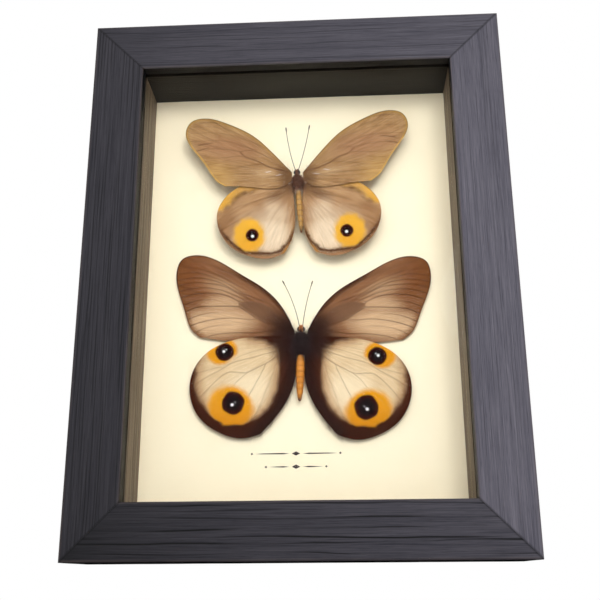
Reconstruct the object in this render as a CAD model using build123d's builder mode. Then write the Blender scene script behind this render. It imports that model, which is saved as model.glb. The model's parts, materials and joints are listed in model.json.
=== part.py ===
from build123d import *
import math
import os

os.makedirs("parts", exist_ok=True)

# A deep glazed display case for two spread butterflies. Millimetres, X across, +Z up, and
# the glass looks towards -Y. The origin is the middle of the case's footprint.

# ---------------------------------------------------------------- case, driving sizes
case_width = 152.0
case_height = 197.0
moulding_face = 18.6  # width of a rail seen from the front
rabbet_width = 4.6  # step behind the front lip that the loose sheets sit in
lip_thickness = 4.5
edge_round = 0.6

glass_thickness = 2.0
display_depth = 19.0  # from the glass to the paper
paper_thickness = 0.3
board_thickness = 5.0
panel_thickness = 3.0
panel_recess = 0.2  # the back panel lies this far inside the rails' backs
sheet_clearance = 0.4  # round each loose sheet in the rabbet
spacer_clearance = 0.2  # from the spacers to the rabbet's wall
spacer_joint_gap = 0.05

# ---------------------------------------------------------------- fittings
v_nail_leg = 5.0
v_nail_thickness = 0.6
v_nail_height = 10.0
v_nail_inset = 7.5  # its point, from both outer edges
v_nail_sink = 0.3  # driven below the wood's surface
drive_clearance = 0.02  # round nails, screws and pins in their holes

button_reach = 14.0  # pivot to tip
button_width = 9.0
button_thickness = 1.0
button_lift = 0.1  # off the rail's back
button_inset = 5.2  # pivot to the rabbet's wall
button_spacing = 92.0  # between the upper and lower pivots
pivot_clearance = 0.05
button_lip_length = 3.0  # bent-up finger lip at the tip
button_lip_rise = 0.8

screw_radius = 1.4
screw_length = 10.0
screw_head_radius = 2.7
screw_head_height = 1.3
screw_slot_width = 0.7
screw_slot_depth = 0.6
screw_head_gap = 0.05

hanger_length = 45.0
hanger_height = 8.5
hanger_thickness = 0.8
hanger_standoff = 1.6
hanger_end = 7.0  # flat ends that the nails go through
hanger_tooth_pitch = 2.2
hanger_tooth_depth = 1.5
hanger_tooth_count = 11
nail_radius = 0.7
nail_length = 9.0
nail_head_radius = 1.7
nail_head_height = 0.7

bumper_radius = 4.75
bumper_thickness = 3.0
bumper_round = 0.5
bumper_inset = 7.0  # its centre, from both outer edges

# ---------------------------------------------------------------- butterflies
wing_thickness = 0.3
body_clearance = 0.1  # from a wing's root to the body
pin_radius = 0.25
pin_depth_in_board = 4.2
antenna_radius = 0.15
antenna_sides = 6
antenna_club_radius = 0.3
antenna_club_length = 1.2
antenna_gap = 0.05  # from an antenna's foot to the head

# The upper one shows its upper side, and stands clear of the paper on its pin.
upper_rise = 40.3  # thorax above the case's middle
upper_shift = -0.4
upper_body_height = 5.2  # body axis in front of the paper
upper_body_lean = 3.6
upper_thorax_radius = 2.4
upper_thorax_length = 6.8
upper_head_radius = 1.25
upper_head_length = 2.3
upper_abdomen_radius = 1.2
upper_abdomen_length = 17.6
upper_root_offset = 2.1
upper_dihedral = 3.0
upper_forewing_length = 45.5
upper_forewing_root_rise = 2.3
upper_forewing_height = 5.6
upper_hindwing_length = 32.3
upper_hindwing_root_rise = -1.2
upper_hindwing_height = 4.9

# The lower one shows its underside, and lies close to the paper.
lower_drop = 22.7  # thorax below the case's middle
lower_shift = 0.3
lower_body_height = 3.3
lower_body_lean = -1.5
lower_thorax_radius = 2.9
lower_thorax_length = 9.2
lower_head_radius = 1.4
lower_head_length = 2.6
lower_abdomen_radius = 1.55
lower_abdomen_length = 16.9
lower_root_offset = 2.5
lower_dihedral = -0.6
lower_forewing_length = 51.6
lower_forewing_root_rise = 4.1
lower_forewing_height = 1.6
lower_hindwing_length = 40.6
lower_hindwing_root_rise = 1.9
lower_hindwing_height = 2.3

# Each wing's own turn about its root, degrees, positive lifts the tip.
spread = {
    "upper_left_forewing": -2.1,
    "upper_right_forewing": -0.3,
    "upper_left_hindwing": -2.2,
    "upper_right_hindwing": 1.2,
    "lower_left_forewing": 2.1,
    "lower_right_forewing": -1.6,
    "lower_left_hindwing": 1.5,
    "lower_right_hindwing": -1.8,
}

# Wing outlines in hundredths of the wing's length, outwards and up from its root. The
# leading edge runs from the root round the tip to the rear corner, and the trailing edge
# runs back to the root.
upper_forewing_leading = [
    (0, 4), (15.5, 23), (32, 40), (53, 52), (73, 58), (85, 54),
    (89, 43), (82, 27.5), (71, 11), (63, -1.5), (56, -6.5),
]
upper_forewing_trailing = [(56, -6.5), (39, -7.5), (21, -10), (8, -8.5), (0, -3.5)]
upper_hindwing_leading = [
    (0, 1), (28, 10), (58, 4), (78, -10), (89, -30), (87, -53),
    (75, -72.5), (53, -86), (30, -90), (12.5, -84),
]
upper_hindwing_trailing = [(12.5, -84), (2, -64), (-2, -37.5), (-1, -11)]
lower_forewing_leading = [
    (0, 3), (9, 19.5), (22.5, 33.5), (40, 44.5), (59, 55.5), (74, 59), (84.5, 55),
    (87.5, 46), (85, 30.5), (79, 14.5), (73.5, 2), (67, -3.5),
]
lower_forewing_trailing = [(67, -3.5), (55, -5), (27.5, -6.5), (0, -4.5)]
lower_hindwing_leading = [
    (0, 3), (22.5, 3), (46, 1), (65, -4.5), (81, -15.5), (91, -34), (91, -52.5),
    (82, -71), (64, -84), (42.5, -89), (27.5, -85),
]
lower_hindwing_trailing = [(27.5, -85), (13, -68), (1.5, -47.5), (-2.5, -30), (-1.5, -7.5)]

# Antennae: middle and tip, across and up from the thorax's middle, and the tip's rise
# towards the glass.
upper_left_antenna_points = [(-3.4, 15.6), (-4.4, 22.9)]
upper_right_antenna_points = [(2.6, 13.2), (4.8, 23.6)]
lower_left_antenna_points = [(-2.9, 15.7), (-6.6, 23.8)]
lower_right_antenna_points = [(2.3, 15.5), (4.6, 23.4)]
antenna_tip_rise = 1.5

# ---------------------------------------------------------------- places worked out
rail_depth = (
    lip_thickness + glass_thickness + display_depth
    + paper_thickness + board_thickness + panel_thickness + panel_recess
)
whole_depth = rail_depth + bumper_thickness
front_y = -whole_depth / 2
back_y = front_y + rail_depth
glass_y = front_y + lip_thickness
well_y = glass_y + glass_thickness
paper_y = well_y + display_depth
board_y = paper_y + paper_thickness
panel_y = board_y + board_thickness

aperture_width = case_width - 2 * moulding_face
aperture_height = case_height - 2 * moulding_face
pocket_width = aperture_width + 2 * rabbet_width
pocket_height = aperture_height + 2 * rabbet_width
middle_z = case_height / 2
rail_wall = moulding_face - rabbet_width  # wood left beside the rabbet
lining = rabbet_width - spacer_clearance  # a spacer's thickness


def save(part, name):
    part.label = name
    export_step(part, f"parts/{name}.step")


def facing_front(x, y, z, turn=0.0):
    """A plane that faces the viewer, turned anticlockwise as seen from the front."""
    turn = math.radians(turn)
    across = (math.cos(turn), 0, math.sin(turn))
    return Plane(origin=(x, y, z), x_dir=across, z_dir=(0, -1, 0))


def facing_back(x, z, depth=0.0):
    """A plane on the rails' backs, or this far inside them, that faces the wall."""
    return Plane(origin=(x, back_y - depth, z), x_dir=(-1, 0, 0), z_dir=(0, 1, 0))


# ---------------------------------------------------------------- corner V-nails
corners = [(side, end) for side in (-1, 1) for end in (0, 1)]


def v_nails(leg_growth, top, bottom):
    """V prisms across the four mitres, between two depths below the rails' backs."""
    with BuildPart() as nails:
        for side, end in corners:
            x = side * (case_width / 2 - v_nail_inset)
            z = end * case_height + (1 - 2 * end) * v_nail_inset
            inward_x = -side
            inward_z = 1 - 2 * end
            half = v_nail_thickness / 2 + leg_growth
            leg = v_nail_leg + leg_growth
            with BuildSketch(Plane(origin=(x, back_y - bottom, z), x_dir=(1, 0, 0), z_dir=(0, -1, 0))):
                with BuildLine():
                    Polyline(
                        (-half * inward_x, -half * inward_z),
                        (leg * inward_x, -half * inward_z),
                        (leg * inward_x, half * inward_z),
                        (half * inward_x, half * inward_z),
                        (half * inward_x, leg * inward_z),
                        (-half * inward_x, leg * inward_z),
                        close=True,
                    )
                make_face()
            extrude(amount=-(bottom - top))
    return nails.part


save(v_nails(0, v_nail_sink, v_nail_sink + v_nail_height), "corner_v_nails")
v_nail_slots = v_nails(drive_clearance, 0, v_nail_sink + v_nail_height + drive_clearance)

# ---------------------------------------------------------------- places of the fittings
hanger_z = case_height - rail_wall / 2
hanger_nail_x = hanger_length / 2 - hanger_end / 2
nail_places = [(side * hanger_nail_x, hanger_z) for side in (-1, 1)]
pivot_x = pocket_width / 2 + button_inset
pivots = {
    "upper_left": (-1, middle_z + button_spacing / 2),
    "upper_right": (1, middle_z + button_spacing / 2),
    "lower_left": (-1, middle_z - button_spacing / 2),
    "lower_right": (1, middle_z - button_spacing / 2),
}


# ---------------------------------------------------------------- rails
def rail(length, origin, inward, drillings=()):
    """A mitred rail. Its section runs from the outer edge inwards and from front to back."""
    along = Vector(*inward).cross(Vector(0, 1, 0))
    section = Plane(origin=origin, x_dir=inward, z_dir=along)
    with BuildPart() as blank:
        with BuildSketch(section):
            with BuildLine():
                Polyline(
                    (0, 0),
                    (moulding_face, 0),
                    (moulding_face, lip_thickness),
                    (rail_wall, lip_thickness),
                    (rail_wall, rail_depth),
                    (0, rail_depth),
                    close=True,
                )
            make_face()
            rounded = [(0, 0), (moulding_face, 0), (0, rail_depth)]
            fillet([vertices().sort_by_distance(place)[0] for place in rounded], radius=edge_round)
        extrude(amount=length / 2, both=True)
        for end in (-1, 1):
            corner = section.from_local_coords((0, 0, end * length / 2))
            outwards = section.from_local_coords((1, 0, end)) - section.origin
            split(bisect_by=Plane(origin=corner, z_dir=outwards), keep=Keep.BOTTOM)
        add(v_nail_slots, mode=Mode.SUBTRACT)
        for x, z, radius, depth in drillings:
            with BuildSketch(facing_back(x, z)):
                Circle(radius + drive_clearance)
            extrude(amount=-(depth + drive_clearance), mode=Mode.SUBTRACT)
    return blank.part


screw_bite = screw_length - button_lift - button_thickness - screw_head_gap
nail_bite = nail_length - hanger_thickness
nail_drillings = [(x, z, nail_radius, nail_bite) for x, z in nail_places]
screw_drillings = {
    side: [(side * pivot_x, z, screw_radius, screw_bite) for s, z in pivots.values() if s == side]
    for side in (-1, 1)
}
save(rail(case_width, (0, front_y, 0), (0, 0, 1)), "bottom_rail")
save(rail(case_width, (0, front_y, case_height), (0, 0, -1), nail_drillings), "top_rail")
left_edge = (-case_width / 2, front_y, middle_z)
save(rail(case_height, left_edge, (1, 0, 0), screw_drillings[-1]), "left_rail")
right_edge = (case_width / 2, front_y, middle_z)
save(rail(case_height, right_edge, (-1, 0, 0), screw_drillings[1]), "right_rail")


# ---------------------------------------------------------------- sheets in the rabbet
pin_places = {
    "upper": (upper_shift, middle_z + upper_rise, upper_body_height),
    "lower": (lower_shift, middle_z - lower_drop, lower_body_height),
}


def sheet(front, thickness, clearance, pin_hole_depth=0.0):
    """A loose sheet that fills the rabbet, with holes for the specimen pins if it has any."""
    with BuildPart() as piece:
        with BuildSketch(facing_front(0, front, middle_z)):
            Rectangle(pocket_width - 2 * clearance, pocket_height - 2 * clearance)
        extrude(amount=-thickness)
        if pin_hole_depth:
            with BuildSketch(facing_front(0, front, middle_z)):
                with Locations(*[(x, z - middle_z) for x, z, _ in pin_places.values()]):
                    Circle(pin_radius + drive_clearance)
            extrude(amount=-pin_hole_depth, mode=Mode.SUBTRACT)
    return piece.part


save(sheet(glass_y, glass_thickness, sheet_clearance), "glass_pane")
save(sheet(paper_y, paper_thickness, sheet_clearance, paper_thickness), "backing_paper")
board_hole_depth = pin_depth_in_board + drive_clearance
save(sheet(board_y, board_thickness, sheet_clearance, board_hole_depth), "mount_board")
save(sheet(panel_y, panel_thickness, sheet_clearance), "back_panel")

# ---------------------------------------------------------------- spacers
for name, end in (("spacer_top", 1), ("spacer_bottom", -1)):
    with BuildPart() as cross_spacer:
        with BuildSketch(facing_front(0, well_y, middle_z)):
            with Locations((0, end * (aperture_height + lining) / 2)):
                Rectangle(pocket_width - 2 * spacer_clearance, lining)
        extrude(amount=-display_depth)
    save(cross_spacer.part, name)

for name, side in (("spacer_left", -1), ("spacer_right", 1)):
    with BuildPart() as side_spacer:
        with BuildSketch(facing_front(0, well_y, middle_z)):
            with Locations((side * (aperture_width + lining) / 2, 0)):
                Rectangle(lining, aperture_height - 2 * spacer_joint_gap)
        extrude(amount=-display_depth)
    save(side_spacer.part, name)

# ---------------------------------------------------------------- turn buttons and screws
button_bend = button_reach - button_lip_length
for name, (side, z) in pivots.items():
    inward = -side
    with BuildPart() as turn_button:
        with BuildSketch(Plane(origin=(side * pivot_x, back_y + button_lift, z), x_dir=(inward, 0, 0),
                               z_dir=(0, 1, 0))):
            with Locations((button_bend / 2, 0)):
                Rectangle(button_bend, button_width)
            Circle(button_width / 2)
            Circle(screw_radius + pivot_clearance, mode=Mode.SUBTRACT)
        extrude(amount=button_thickness)
        # The tip is a short lip bent away from the panel, with a rounded end.
        tip_front = back_y + button_lift
        lip_section = Plane(origin=(side * pivot_x, tip_front, z), x_dir=(inward, 0, 0),
                            z_dir=(0, 0, inward))
        with BuildSketch(lip_section):
            with BuildLine():
                Polyline(
                    (button_bend, 0),
                    (button_reach, button_lip_rise),
                    (button_reach, button_lip_rise + button_thickness),
                    (button_bend, button_thickness),
                    close=True,
                )
            make_face()
        extrude(amount=button_width / 2, both=True)
        with BuildSketch(Plane(origin=(side * pivot_x, tip_front, z), x_dir=(inward, 0, 0),
                               z_dir=(0, 1, 0))):
            with Locations((button_reach - button_width / 2, 0)):
                Circle(button_width / 2)
            with Locations((0, 0)):
                Rectangle(2 * (button_reach - button_width / 2), button_width)
                Circle(button_width)
        extrude(amount=button_lip_rise + button_thickness, mode=Mode.INTERSECT)
    save(turn_button.part, f"turn_button_{name}")

screw_head_y = back_y + button_lift + button_thickness + screw_head_gap
with BuildPart() as turn_button_screws:
    for side, z in pivots.values():
        under_head = Plane(origin=(side * pivot_x, screw_head_y, z), x_dir=(1, 0, 0), z_dir=(0, 1, 0))
        with BuildSketch(under_head):
            Circle(screw_head_radius)
        extrude(amount=screw_head_height)
        with BuildSketch(under_head):
            Circle(screw_radius)
        extrude(amount=-screw_length)
        with BuildSketch(under_head.offset(screw_head_height)):
            Rectangle(2 * screw_head_radius, screw_slot_width)
        extrude(amount=-screw_slot_depth, mode=Mode.SUBTRACT)
save(turn_button_screws.part, "turn_button_screws")

# ---------------------------------------------------------------- sawtooth hanger and nails
end_x = hanger_length / 2
foot_x = end_x - hanger_end
shelf_x = foot_x - hanger_standoff  # the joggle rises at 45 degrees
bend = hanger_thickness * math.tan(math.radians(22.5))
outer_y = back_y + hanger_thickness
shelf_y = back_y + hanger_standoff
with BuildPart() as sawtooth_hanger:
    with BuildSketch(Plane.XY.offset(hanger_z)):
        with BuildLine():
            Polyline(
                (-end_x, back_y),
                (-foot_x, back_y),
                (-shelf_x, shelf_y),
                (shelf_x, shelf_y),
                (foot_x, back_y),
                (end_x, back_y),
                (end_x, outer_y),
                (foot_x + bend, outer_y),
                (shelf_x + bend, shelf_y + hanger_thickness),
                (-shelf_x - bend, shelf_y + hanger_thickness),
                (-foot_x - bend, outer_y),
                (-end_x, outer_y),
                close=True,
            )
        make_face()
    extrude(amount=hanger_height / 2, both=True)
    with BuildSketch(facing_back(0, hanger_z - hanger_height / 2)):
        with GridLocations(hanger_tooth_pitch, 0, hanger_tooth_count, 1):
            half = hanger_tooth_pitch / 2
            Polygon((-half, 0), (0, hanger_tooth_depth), (half, 0), align=None)
    extrude(amount=hanger_standoff + 2 * hanger_thickness, mode=Mode.SUBTRACT)
    for x, z in nail_places:
        with BuildSketch(facing_back(x, z)):
            Circle(nail_radius + drive_clearance)
        extrude(amount=hanger_thickness, mode=Mode.SUBTRACT)
save(sawtooth_hanger.part, "sawtooth_hanger")

with BuildPart() as hanger_nails:
    for x, z in nail_places:
        with BuildSketch(facing_back(x, z, -hanger_thickness)):
            Circle(nail_head_radius)
        extrude(amount=nail_head_height)
        with BuildSketch(facing_back(x, z, -hanger_thickness)):
            Circle(nail_radius)
        extrude(amount=-nail_length)
save(hanger_nails.part, "hanger_nails")

# ---------------------------------------------------------------- wall bumpers
for name, side in (("wall_bumper_left", -1), ("wall_bumper_right", 1)):
    with BuildPart() as bumper:
        with BuildSketch(facing_back(side * (case_width / 2 - bumper_inset), bumper_inset)):
            Circle(bumper_radius)
        extrude(amount=bumper_thickness)
        fillet(bumper.edges().group_by(Axis.Y)[-1], radius=bumper_round)
    save(bumper.part, name)


# ---------------------------------------------------------------- butterfly bodies
def turned(plane, stations):
    """A solid turned about the plane's Y axis through (place along it, radius) stations."""
    first, last = stations[0], stations[-1]
    with BuildPart() as piece:
        with BuildSketch(plane):
            with BuildLine():
                Spline(*[(radius, place) for place, radius in stations])
                Line((0, last[0]), (0, first[0]))
                for place, radius in (first, last):
                    if radius:
                        Line((0, place), (radius, place))
            make_face()
        revolve(axis=Axis(plane.origin, plane.y_dir))
    return piece.part


def antenna(foot, middle, tip):
    """A thin curved rod of six sides with a small club at its tip."""
    with BuildPart() as piece:
        with BuildLine() as route:
            ThreePointArc(foot, middle, tip)
        with BuildSketch(Plane(origin=route.line @ 0, z_dir=route.line % 0)):
            RegularPolygon(antenna_radius, antenna_sides)
        sweep()
        with BuildSketch(Plane(origin=route.line @ 1, z_dir=route.line % 1)):
            RegularPolygon(antenna_club_radius, antenna_sides)
        extrude(amount=antenna_club_length / 2, both=True)
    return piece.part


def butterfly(name, shift, height, lean, thorax, head, abdomen, antennae):
    """The body's three turned pieces, its antennae and its pin. Sizes are (radius, length)."""
    x, z, _ = pin_places[name]
    body = facing_front(x, paper_y - height, z, lean)
    radius, length = thorax
    neck = 0.45 * length
    waist = -0.45 * length
    head_radius, head_length = head
    tail_radius, tail_length = abdomen
    with BuildPart() as middle:
        add(turned(body, [
            (waist, 0.62 * tail_radius), (0.55 * waist, 0.86 * radius), (0, radius),
            (0.6 * neck, 0.82 * radius), (neck, 0.55 * head_radius),
        ]))
        with BuildSketch(facing_front(x, paper_y, z)):
            Circle(pin_radius + drive_clearance)
        extrude(amount=height, mode=Mode.SUBTRACT)
    save(middle.part, f"{name}_thorax")
    save(turned(body, [
        (neck, 0.55 * head_radius), (neck + 0.2 * head_length, 0.92 * head_radius),
        (neck + 0.5 * head_length, head_radius), (neck + 0.85 * head_length, 0.6 * head_radius),
        (neck + head_length, 0),
    ]), f"{name}_head")
    save(turned(body, [
        (waist - tail_length, 0), (waist - 0.95 * tail_length, 0.42 * tail_radius),
        (waist - 0.7 * tail_length, 0.82 * tail_radius), (waist - 0.35 * tail_length, tail_radius),
        (waist - 0.1 * tail_length, 0.86 * tail_radius), (waist, 0.62 * tail_radius),
    ]), f"{name}_abdomen")
    crown = body.from_local_coords((0, neck + 0.62 * head_length, 0))
    for side, (bow, tip) in antennae.items():
        sign = -1 if side == "left" else 1
        foot = crown + Vector(sign * (0.8 * head_radius + antenna_radius + antenna_gap), 0,
                              0.35 * head_length)
        bow_place = Vector(x + bow[0], crown.Y - antenna_tip_rise / 3, z + bow[1])
        tip_place = Vector(x + tip[0], crown.Y - antenna_tip_rise, z + tip[1])
        save(antenna(foot, bow_place, tip_place), f"{name}_{side}_antenna")
    with BuildPart() as pin:
        with BuildSketch(facing_front(x, paper_y, z)):
            Circle(pin_radius)
        extrude(amount=height - drive_clearance)
        with BuildSketch(facing_front(x, paper_y, z)):
            Circle(pin_radius)
        extrude(amount=-(paper_thickness + pin_depth_in_board))
    save(pin.part, f"{name}_pin")


def wing(name, outline, length, root, offset, height, dihedral, body):
    """A thin wing plate, cut back from the body that it grows from."""
    side = -1 if "left" in name else 1
    specimen = name.split("_")[0]
    x, z, _ = pin_places[specimen]
    lean, thorax, abdomen = body
    turn = math.radians(side * spread[name])
    tilt = math.radians(-side * dihedral)
    across = (math.cos(turn) * math.cos(tilt), math.cos(turn) * math.sin(tilt), math.sin(turn))
    root_place = (x + side * offset, paper_y - height, z + root)
    plate = Plane(origin=root_place, x_dir=across, z_dir=(math.sin(tilt), -math.cos(tilt), 0))
    leading, trailing = [
        [(side * u * length / 100, v * length / 100) for u, v in edge] for edge in outline
    ]
    radius, body_length = thorax
    tail_radius, tail_length = abdomen
    waist = 0.45 * body_length
    with BuildPart() as piece:
        with BuildSketch(plate):
            with BuildLine():
                Spline(*leading)
                Spline(*trailing)
                Line(trailing[-1], leading[0])
            make_face()
        extrude(amount=wing_thickness / 2, both=True)
        with BuildSketch(facing_front(x, paper_y, z, lean)):
            Ellipse(radius + body_clearance, body_length / 2 + body_clearance)
            with Locations((0, -waist - tail_length / 2)):
                Rectangle(2 * (tail_radius + body_clearance), tail_length)
        extrude(amount=display_depth, mode=Mode.SUBTRACT)
    save(piece.part, name)


upper_thorax = (upper_thorax_radius, upper_thorax_length)
upper_abdomen = (upper_abdomen_radius, upper_abdomen_length)
butterfly(
    "upper", upper_shift, upper_body_height, upper_body_lean, upper_thorax,
    (upper_head_radius, upper_head_length), upper_abdomen,
    {"left": upper_left_antenna_points, "right": upper_right_antenna_points},
)
upper_body = (upper_body_lean, upper_thorax, upper_abdomen)
lower_thorax = (lower_thorax_radius, lower_thorax_length)
lower_abdomen = (lower_abdomen_radius, lower_abdomen_length)
butterfly(
    "lower", lower_shift, lower_body_height, lower_body_lean, lower_thorax,
    (lower_head_radius, lower_head_length), lower_abdomen,
    {"left": lower_left_antenna_points, "right": lower_right_antenna_points},
)
lower_body = (lower_body_lean, lower_thorax, lower_abdomen)

for side in ("left", "right"):
    wing(
        f"upper_{side}_forewing", (upper_forewing_leading, upper_forewing_trailing),
        upper_forewing_length, upper_forewing_root_rise, upper_root_offset,
        upper_forewing_height, upper_dihedral, upper_body,
    )
    wing(
        f"upper_{side}_hindwing", (upper_hindwing_leading, upper_hindwing_trailing),
        upper_hindwing_length, upper_hindwing_root_rise, upper_root_offset,
        upper_hindwing_height, upper_dihedral, upper_body,
    )
    wing(
        f"lower_{side}_forewing", (lower_forewing_leading, lower_forewing_trailing),
        lower_forewing_length, lower_forewing_root_rise, lower_root_offset,
        lower_forewing_height, lower_dihedral, lower_body,
    )
    wing(
        f"lower_{side}_hindwing", (lower_hindwing_leading, lower_hindwing_trailing),
        lower_hindwing_length, lower_hindwing_root_rise, lower_root_offset,
        lower_hindwing_height, lower_dihedral, lower_body,
    )
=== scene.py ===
"""Looks of a glazed display case with two set butterflies.

Laid out as a Blender add-on and run as a script. Everything is in metres, in the frame of the
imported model: X across, the glass towards -Y, Z up from the case's lower edge.
"""

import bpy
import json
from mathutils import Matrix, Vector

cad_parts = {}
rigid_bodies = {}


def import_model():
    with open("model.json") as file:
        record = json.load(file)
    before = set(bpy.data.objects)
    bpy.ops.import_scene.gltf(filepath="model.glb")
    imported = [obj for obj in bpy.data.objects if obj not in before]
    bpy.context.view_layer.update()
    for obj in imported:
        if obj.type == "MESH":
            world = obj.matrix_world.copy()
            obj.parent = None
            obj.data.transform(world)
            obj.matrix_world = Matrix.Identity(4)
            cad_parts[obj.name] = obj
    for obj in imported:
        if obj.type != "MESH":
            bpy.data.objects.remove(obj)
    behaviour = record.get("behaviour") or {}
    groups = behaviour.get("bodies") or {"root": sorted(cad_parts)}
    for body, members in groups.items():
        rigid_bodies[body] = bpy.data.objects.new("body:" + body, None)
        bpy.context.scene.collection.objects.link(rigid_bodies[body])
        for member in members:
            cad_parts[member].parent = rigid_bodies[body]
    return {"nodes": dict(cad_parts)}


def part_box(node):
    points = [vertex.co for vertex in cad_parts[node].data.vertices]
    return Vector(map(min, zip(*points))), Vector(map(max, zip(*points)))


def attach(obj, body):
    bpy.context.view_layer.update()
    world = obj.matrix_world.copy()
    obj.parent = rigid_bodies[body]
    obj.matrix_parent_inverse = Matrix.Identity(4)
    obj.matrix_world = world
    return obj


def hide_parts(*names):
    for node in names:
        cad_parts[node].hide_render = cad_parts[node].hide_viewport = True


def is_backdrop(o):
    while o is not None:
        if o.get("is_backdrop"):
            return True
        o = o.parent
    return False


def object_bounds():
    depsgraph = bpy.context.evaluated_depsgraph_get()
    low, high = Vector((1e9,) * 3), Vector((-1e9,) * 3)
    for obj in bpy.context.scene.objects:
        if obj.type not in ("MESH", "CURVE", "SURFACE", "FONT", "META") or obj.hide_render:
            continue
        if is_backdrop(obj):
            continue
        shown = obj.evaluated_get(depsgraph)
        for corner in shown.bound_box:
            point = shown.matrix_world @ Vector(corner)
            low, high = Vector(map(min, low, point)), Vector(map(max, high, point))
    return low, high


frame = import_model()
packed_box = [list(corner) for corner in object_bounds()]

import json
import math

import bmesh
import bpy
import numpy as np
from bpy.props import FloatProperty, FloatVectorProperty, IntProperty, PointerProperty
from mathutils import Matrix, Vector, geometry

bl_info = {
    "name": "Butterfly display case",
    "version": (1, 0, 0),
    "blender": (4, 5, 0),
    "location": "3D View > Sidebar > Display case",
    "description": "Dresses the packed case, its fittings and its two butterflies",
    "category": "Object",
}

MM = 0.001
BODY = "case"
# Places of a colour mix's sockets, which share their names with its other kinds.
MIX_FIRST, MIX_SECOND, MIX_RESULT = 6, 7, 2
BUTTONS = ("upper_left", "upper_right", "lower_left", "lower_right")


# ---------------------------------------------------------------- sizes and colours
def shade(red, green, blue):
    """Linear colour of a screen colour from 0 to 255."""
    parts = (part / 255 for part in (red, green, blue))
    return tuple(p / 12.92 if p <= 0.04045 else ((p + 0.055) / 1.055) ** 2.4 for p in parts)


def colour(name, about, red, green, blue):
    return FloatVectorProperty(
        name=name, description=about, subtype="COLOR", size=3, min=0, max=1,
        default=shade(red, green, blue),
    )


def size(name, about, millimetres):
    return FloatProperty(
        name=name, description=about, unit="LENGTH", min=0, precision=5,
        default=millimetres * MM,
    )


def amount(name, about, value, high=1.0):
    return FloatProperty(name=name, description=about, min=0, max=high, default=value)


outer_low, outer_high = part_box("left_rail")[0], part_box("right_rail")[1]
glass_low, glass_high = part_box("glass_pane")
paper_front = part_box("backing_paper")[0].y
case_width = outer_high.x - outer_low.x
case_height = outer_high.z - outer_low.z
middle_z = (outer_high.z + outer_low.z) / 2
rail_depth = outer_high.y - outer_low.y
rail_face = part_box("bottom_rail")[1].z - outer_low.z
lip_thickness = glass_low.y - outer_low.y


class CaseSettings(bpy.types.PropertyGroup):
    """Sizes and colours of the case and what closes it."""

    edge_round: size("Edge rounding", "Radius of the moulding's outer edges", 0.6)
    lip_round: size("Lip rounding", "Radius of the edge next to the glass", 0.5)
    mitre_gap: size("Mitre gap", "Half the open line in each mitre", 0.02)
    relief: size("Grain relief", "Depth of the embossed grain lines", 0.09)
    cross_pitch: size("Grain pitch, top and bottom", "Spacing of the dark grain lines", 2.5)
    upright_pitch: size("Grain pitch, sides", "Spacing of the finer lines of the sides", 1.25)
    wood_dark: colour("Charcoal, dark", "Deep part of the stained wood", 23, 23, 30)
    wood_light: colour("Charcoal, light", "Raised part of the stained wood", 64, 62, 68)
    wood_worn: colour("Charcoal, worn", "Rubbed edges of the moulding", 104, 92, 90)
    lining_dark: colour("Lining, dark", "Dark grain of the spacers", 54, 43, 34)
    lining_light: colour("Lining, light", "Pale grain of the spacers", 120, 104, 84)
    paper: colour("Paper", "Cream backing paper", 250, 238, 209)
    # The toned colour serves for aged clouds and flecks in the paper, and for painted shade towards its
    # edges next to the walls.
    paper_toned_and_shaded: colour("Paper, toned", "Aged edges and clouds in the paper", 245, 227, 193)
    ink: colour("Ink", "Printed ornament", 52, 46, 44)
    hardboard_dark: colour("Hardboard, dark", "Pressed face of the back panel", 84, 56, 36)
    hardboard_light: colour("Hardboard, light", "Fibres of the back panel", 139, 98, 64)
    brass: colour("Brassed steel", "Turn buttons and hanger", 196, 160, 92)
    steel: colour("Zinced steel", "Nails and screws", 178, 180, 184)
    felt: colour("Felt", "Wall bumpers", 58, 60, 58)


class ButterflySettings(bpy.types.PropertyGroup):
    """Sizes and colours of the two specimens."""

    wing_grid: size("Wing grid", "Spacing of the points on a wing", 0.3)
    wing_thickness: size("Wing thickness", "Thickness of a wing", 0.16)
    vein_relief: size("Vein relief", "How far a vein stands up", 0.05)
    billow: size("Billow", "Slow waves shared by the wings of one side", 0.28)
    hair_length: size("Hair length", "Longest hairs on the bodies", 1.5)
    hair_radius: size("Hair radius", "Root radius of a hair", 0.045)
    hair_density: amount("Hair density", "Hairs on a square millimetre", 14.0, 60.0)
    hair_seed: IntProperty(name="Hair seed", description="Order of the hairs", default=4)


class StageSettings(bpy.types.PropertyGroup):
    """Camera, lamps and floor."""

    key_power: FloatProperty(
        name="Key lamp", description="Power of the lamp above the camera", unit="POWER",
        default=0.60,
    )
    fill_power: FloatProperty(
        name="Side lamp", description="Power of the lamp at the right", unit="POWER", default=0.75,
    )
    back_power: FloatProperty(
        name="Back lamps", description="Power of each lamp behind the case", unit="POWER",
        default=3.0,
    )
    ambient: amount("Ambient", "Light from all round", 0.42, 3.0)
    floor: colour("Floor", "Pale studio floor", 240, 240, 240)


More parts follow.
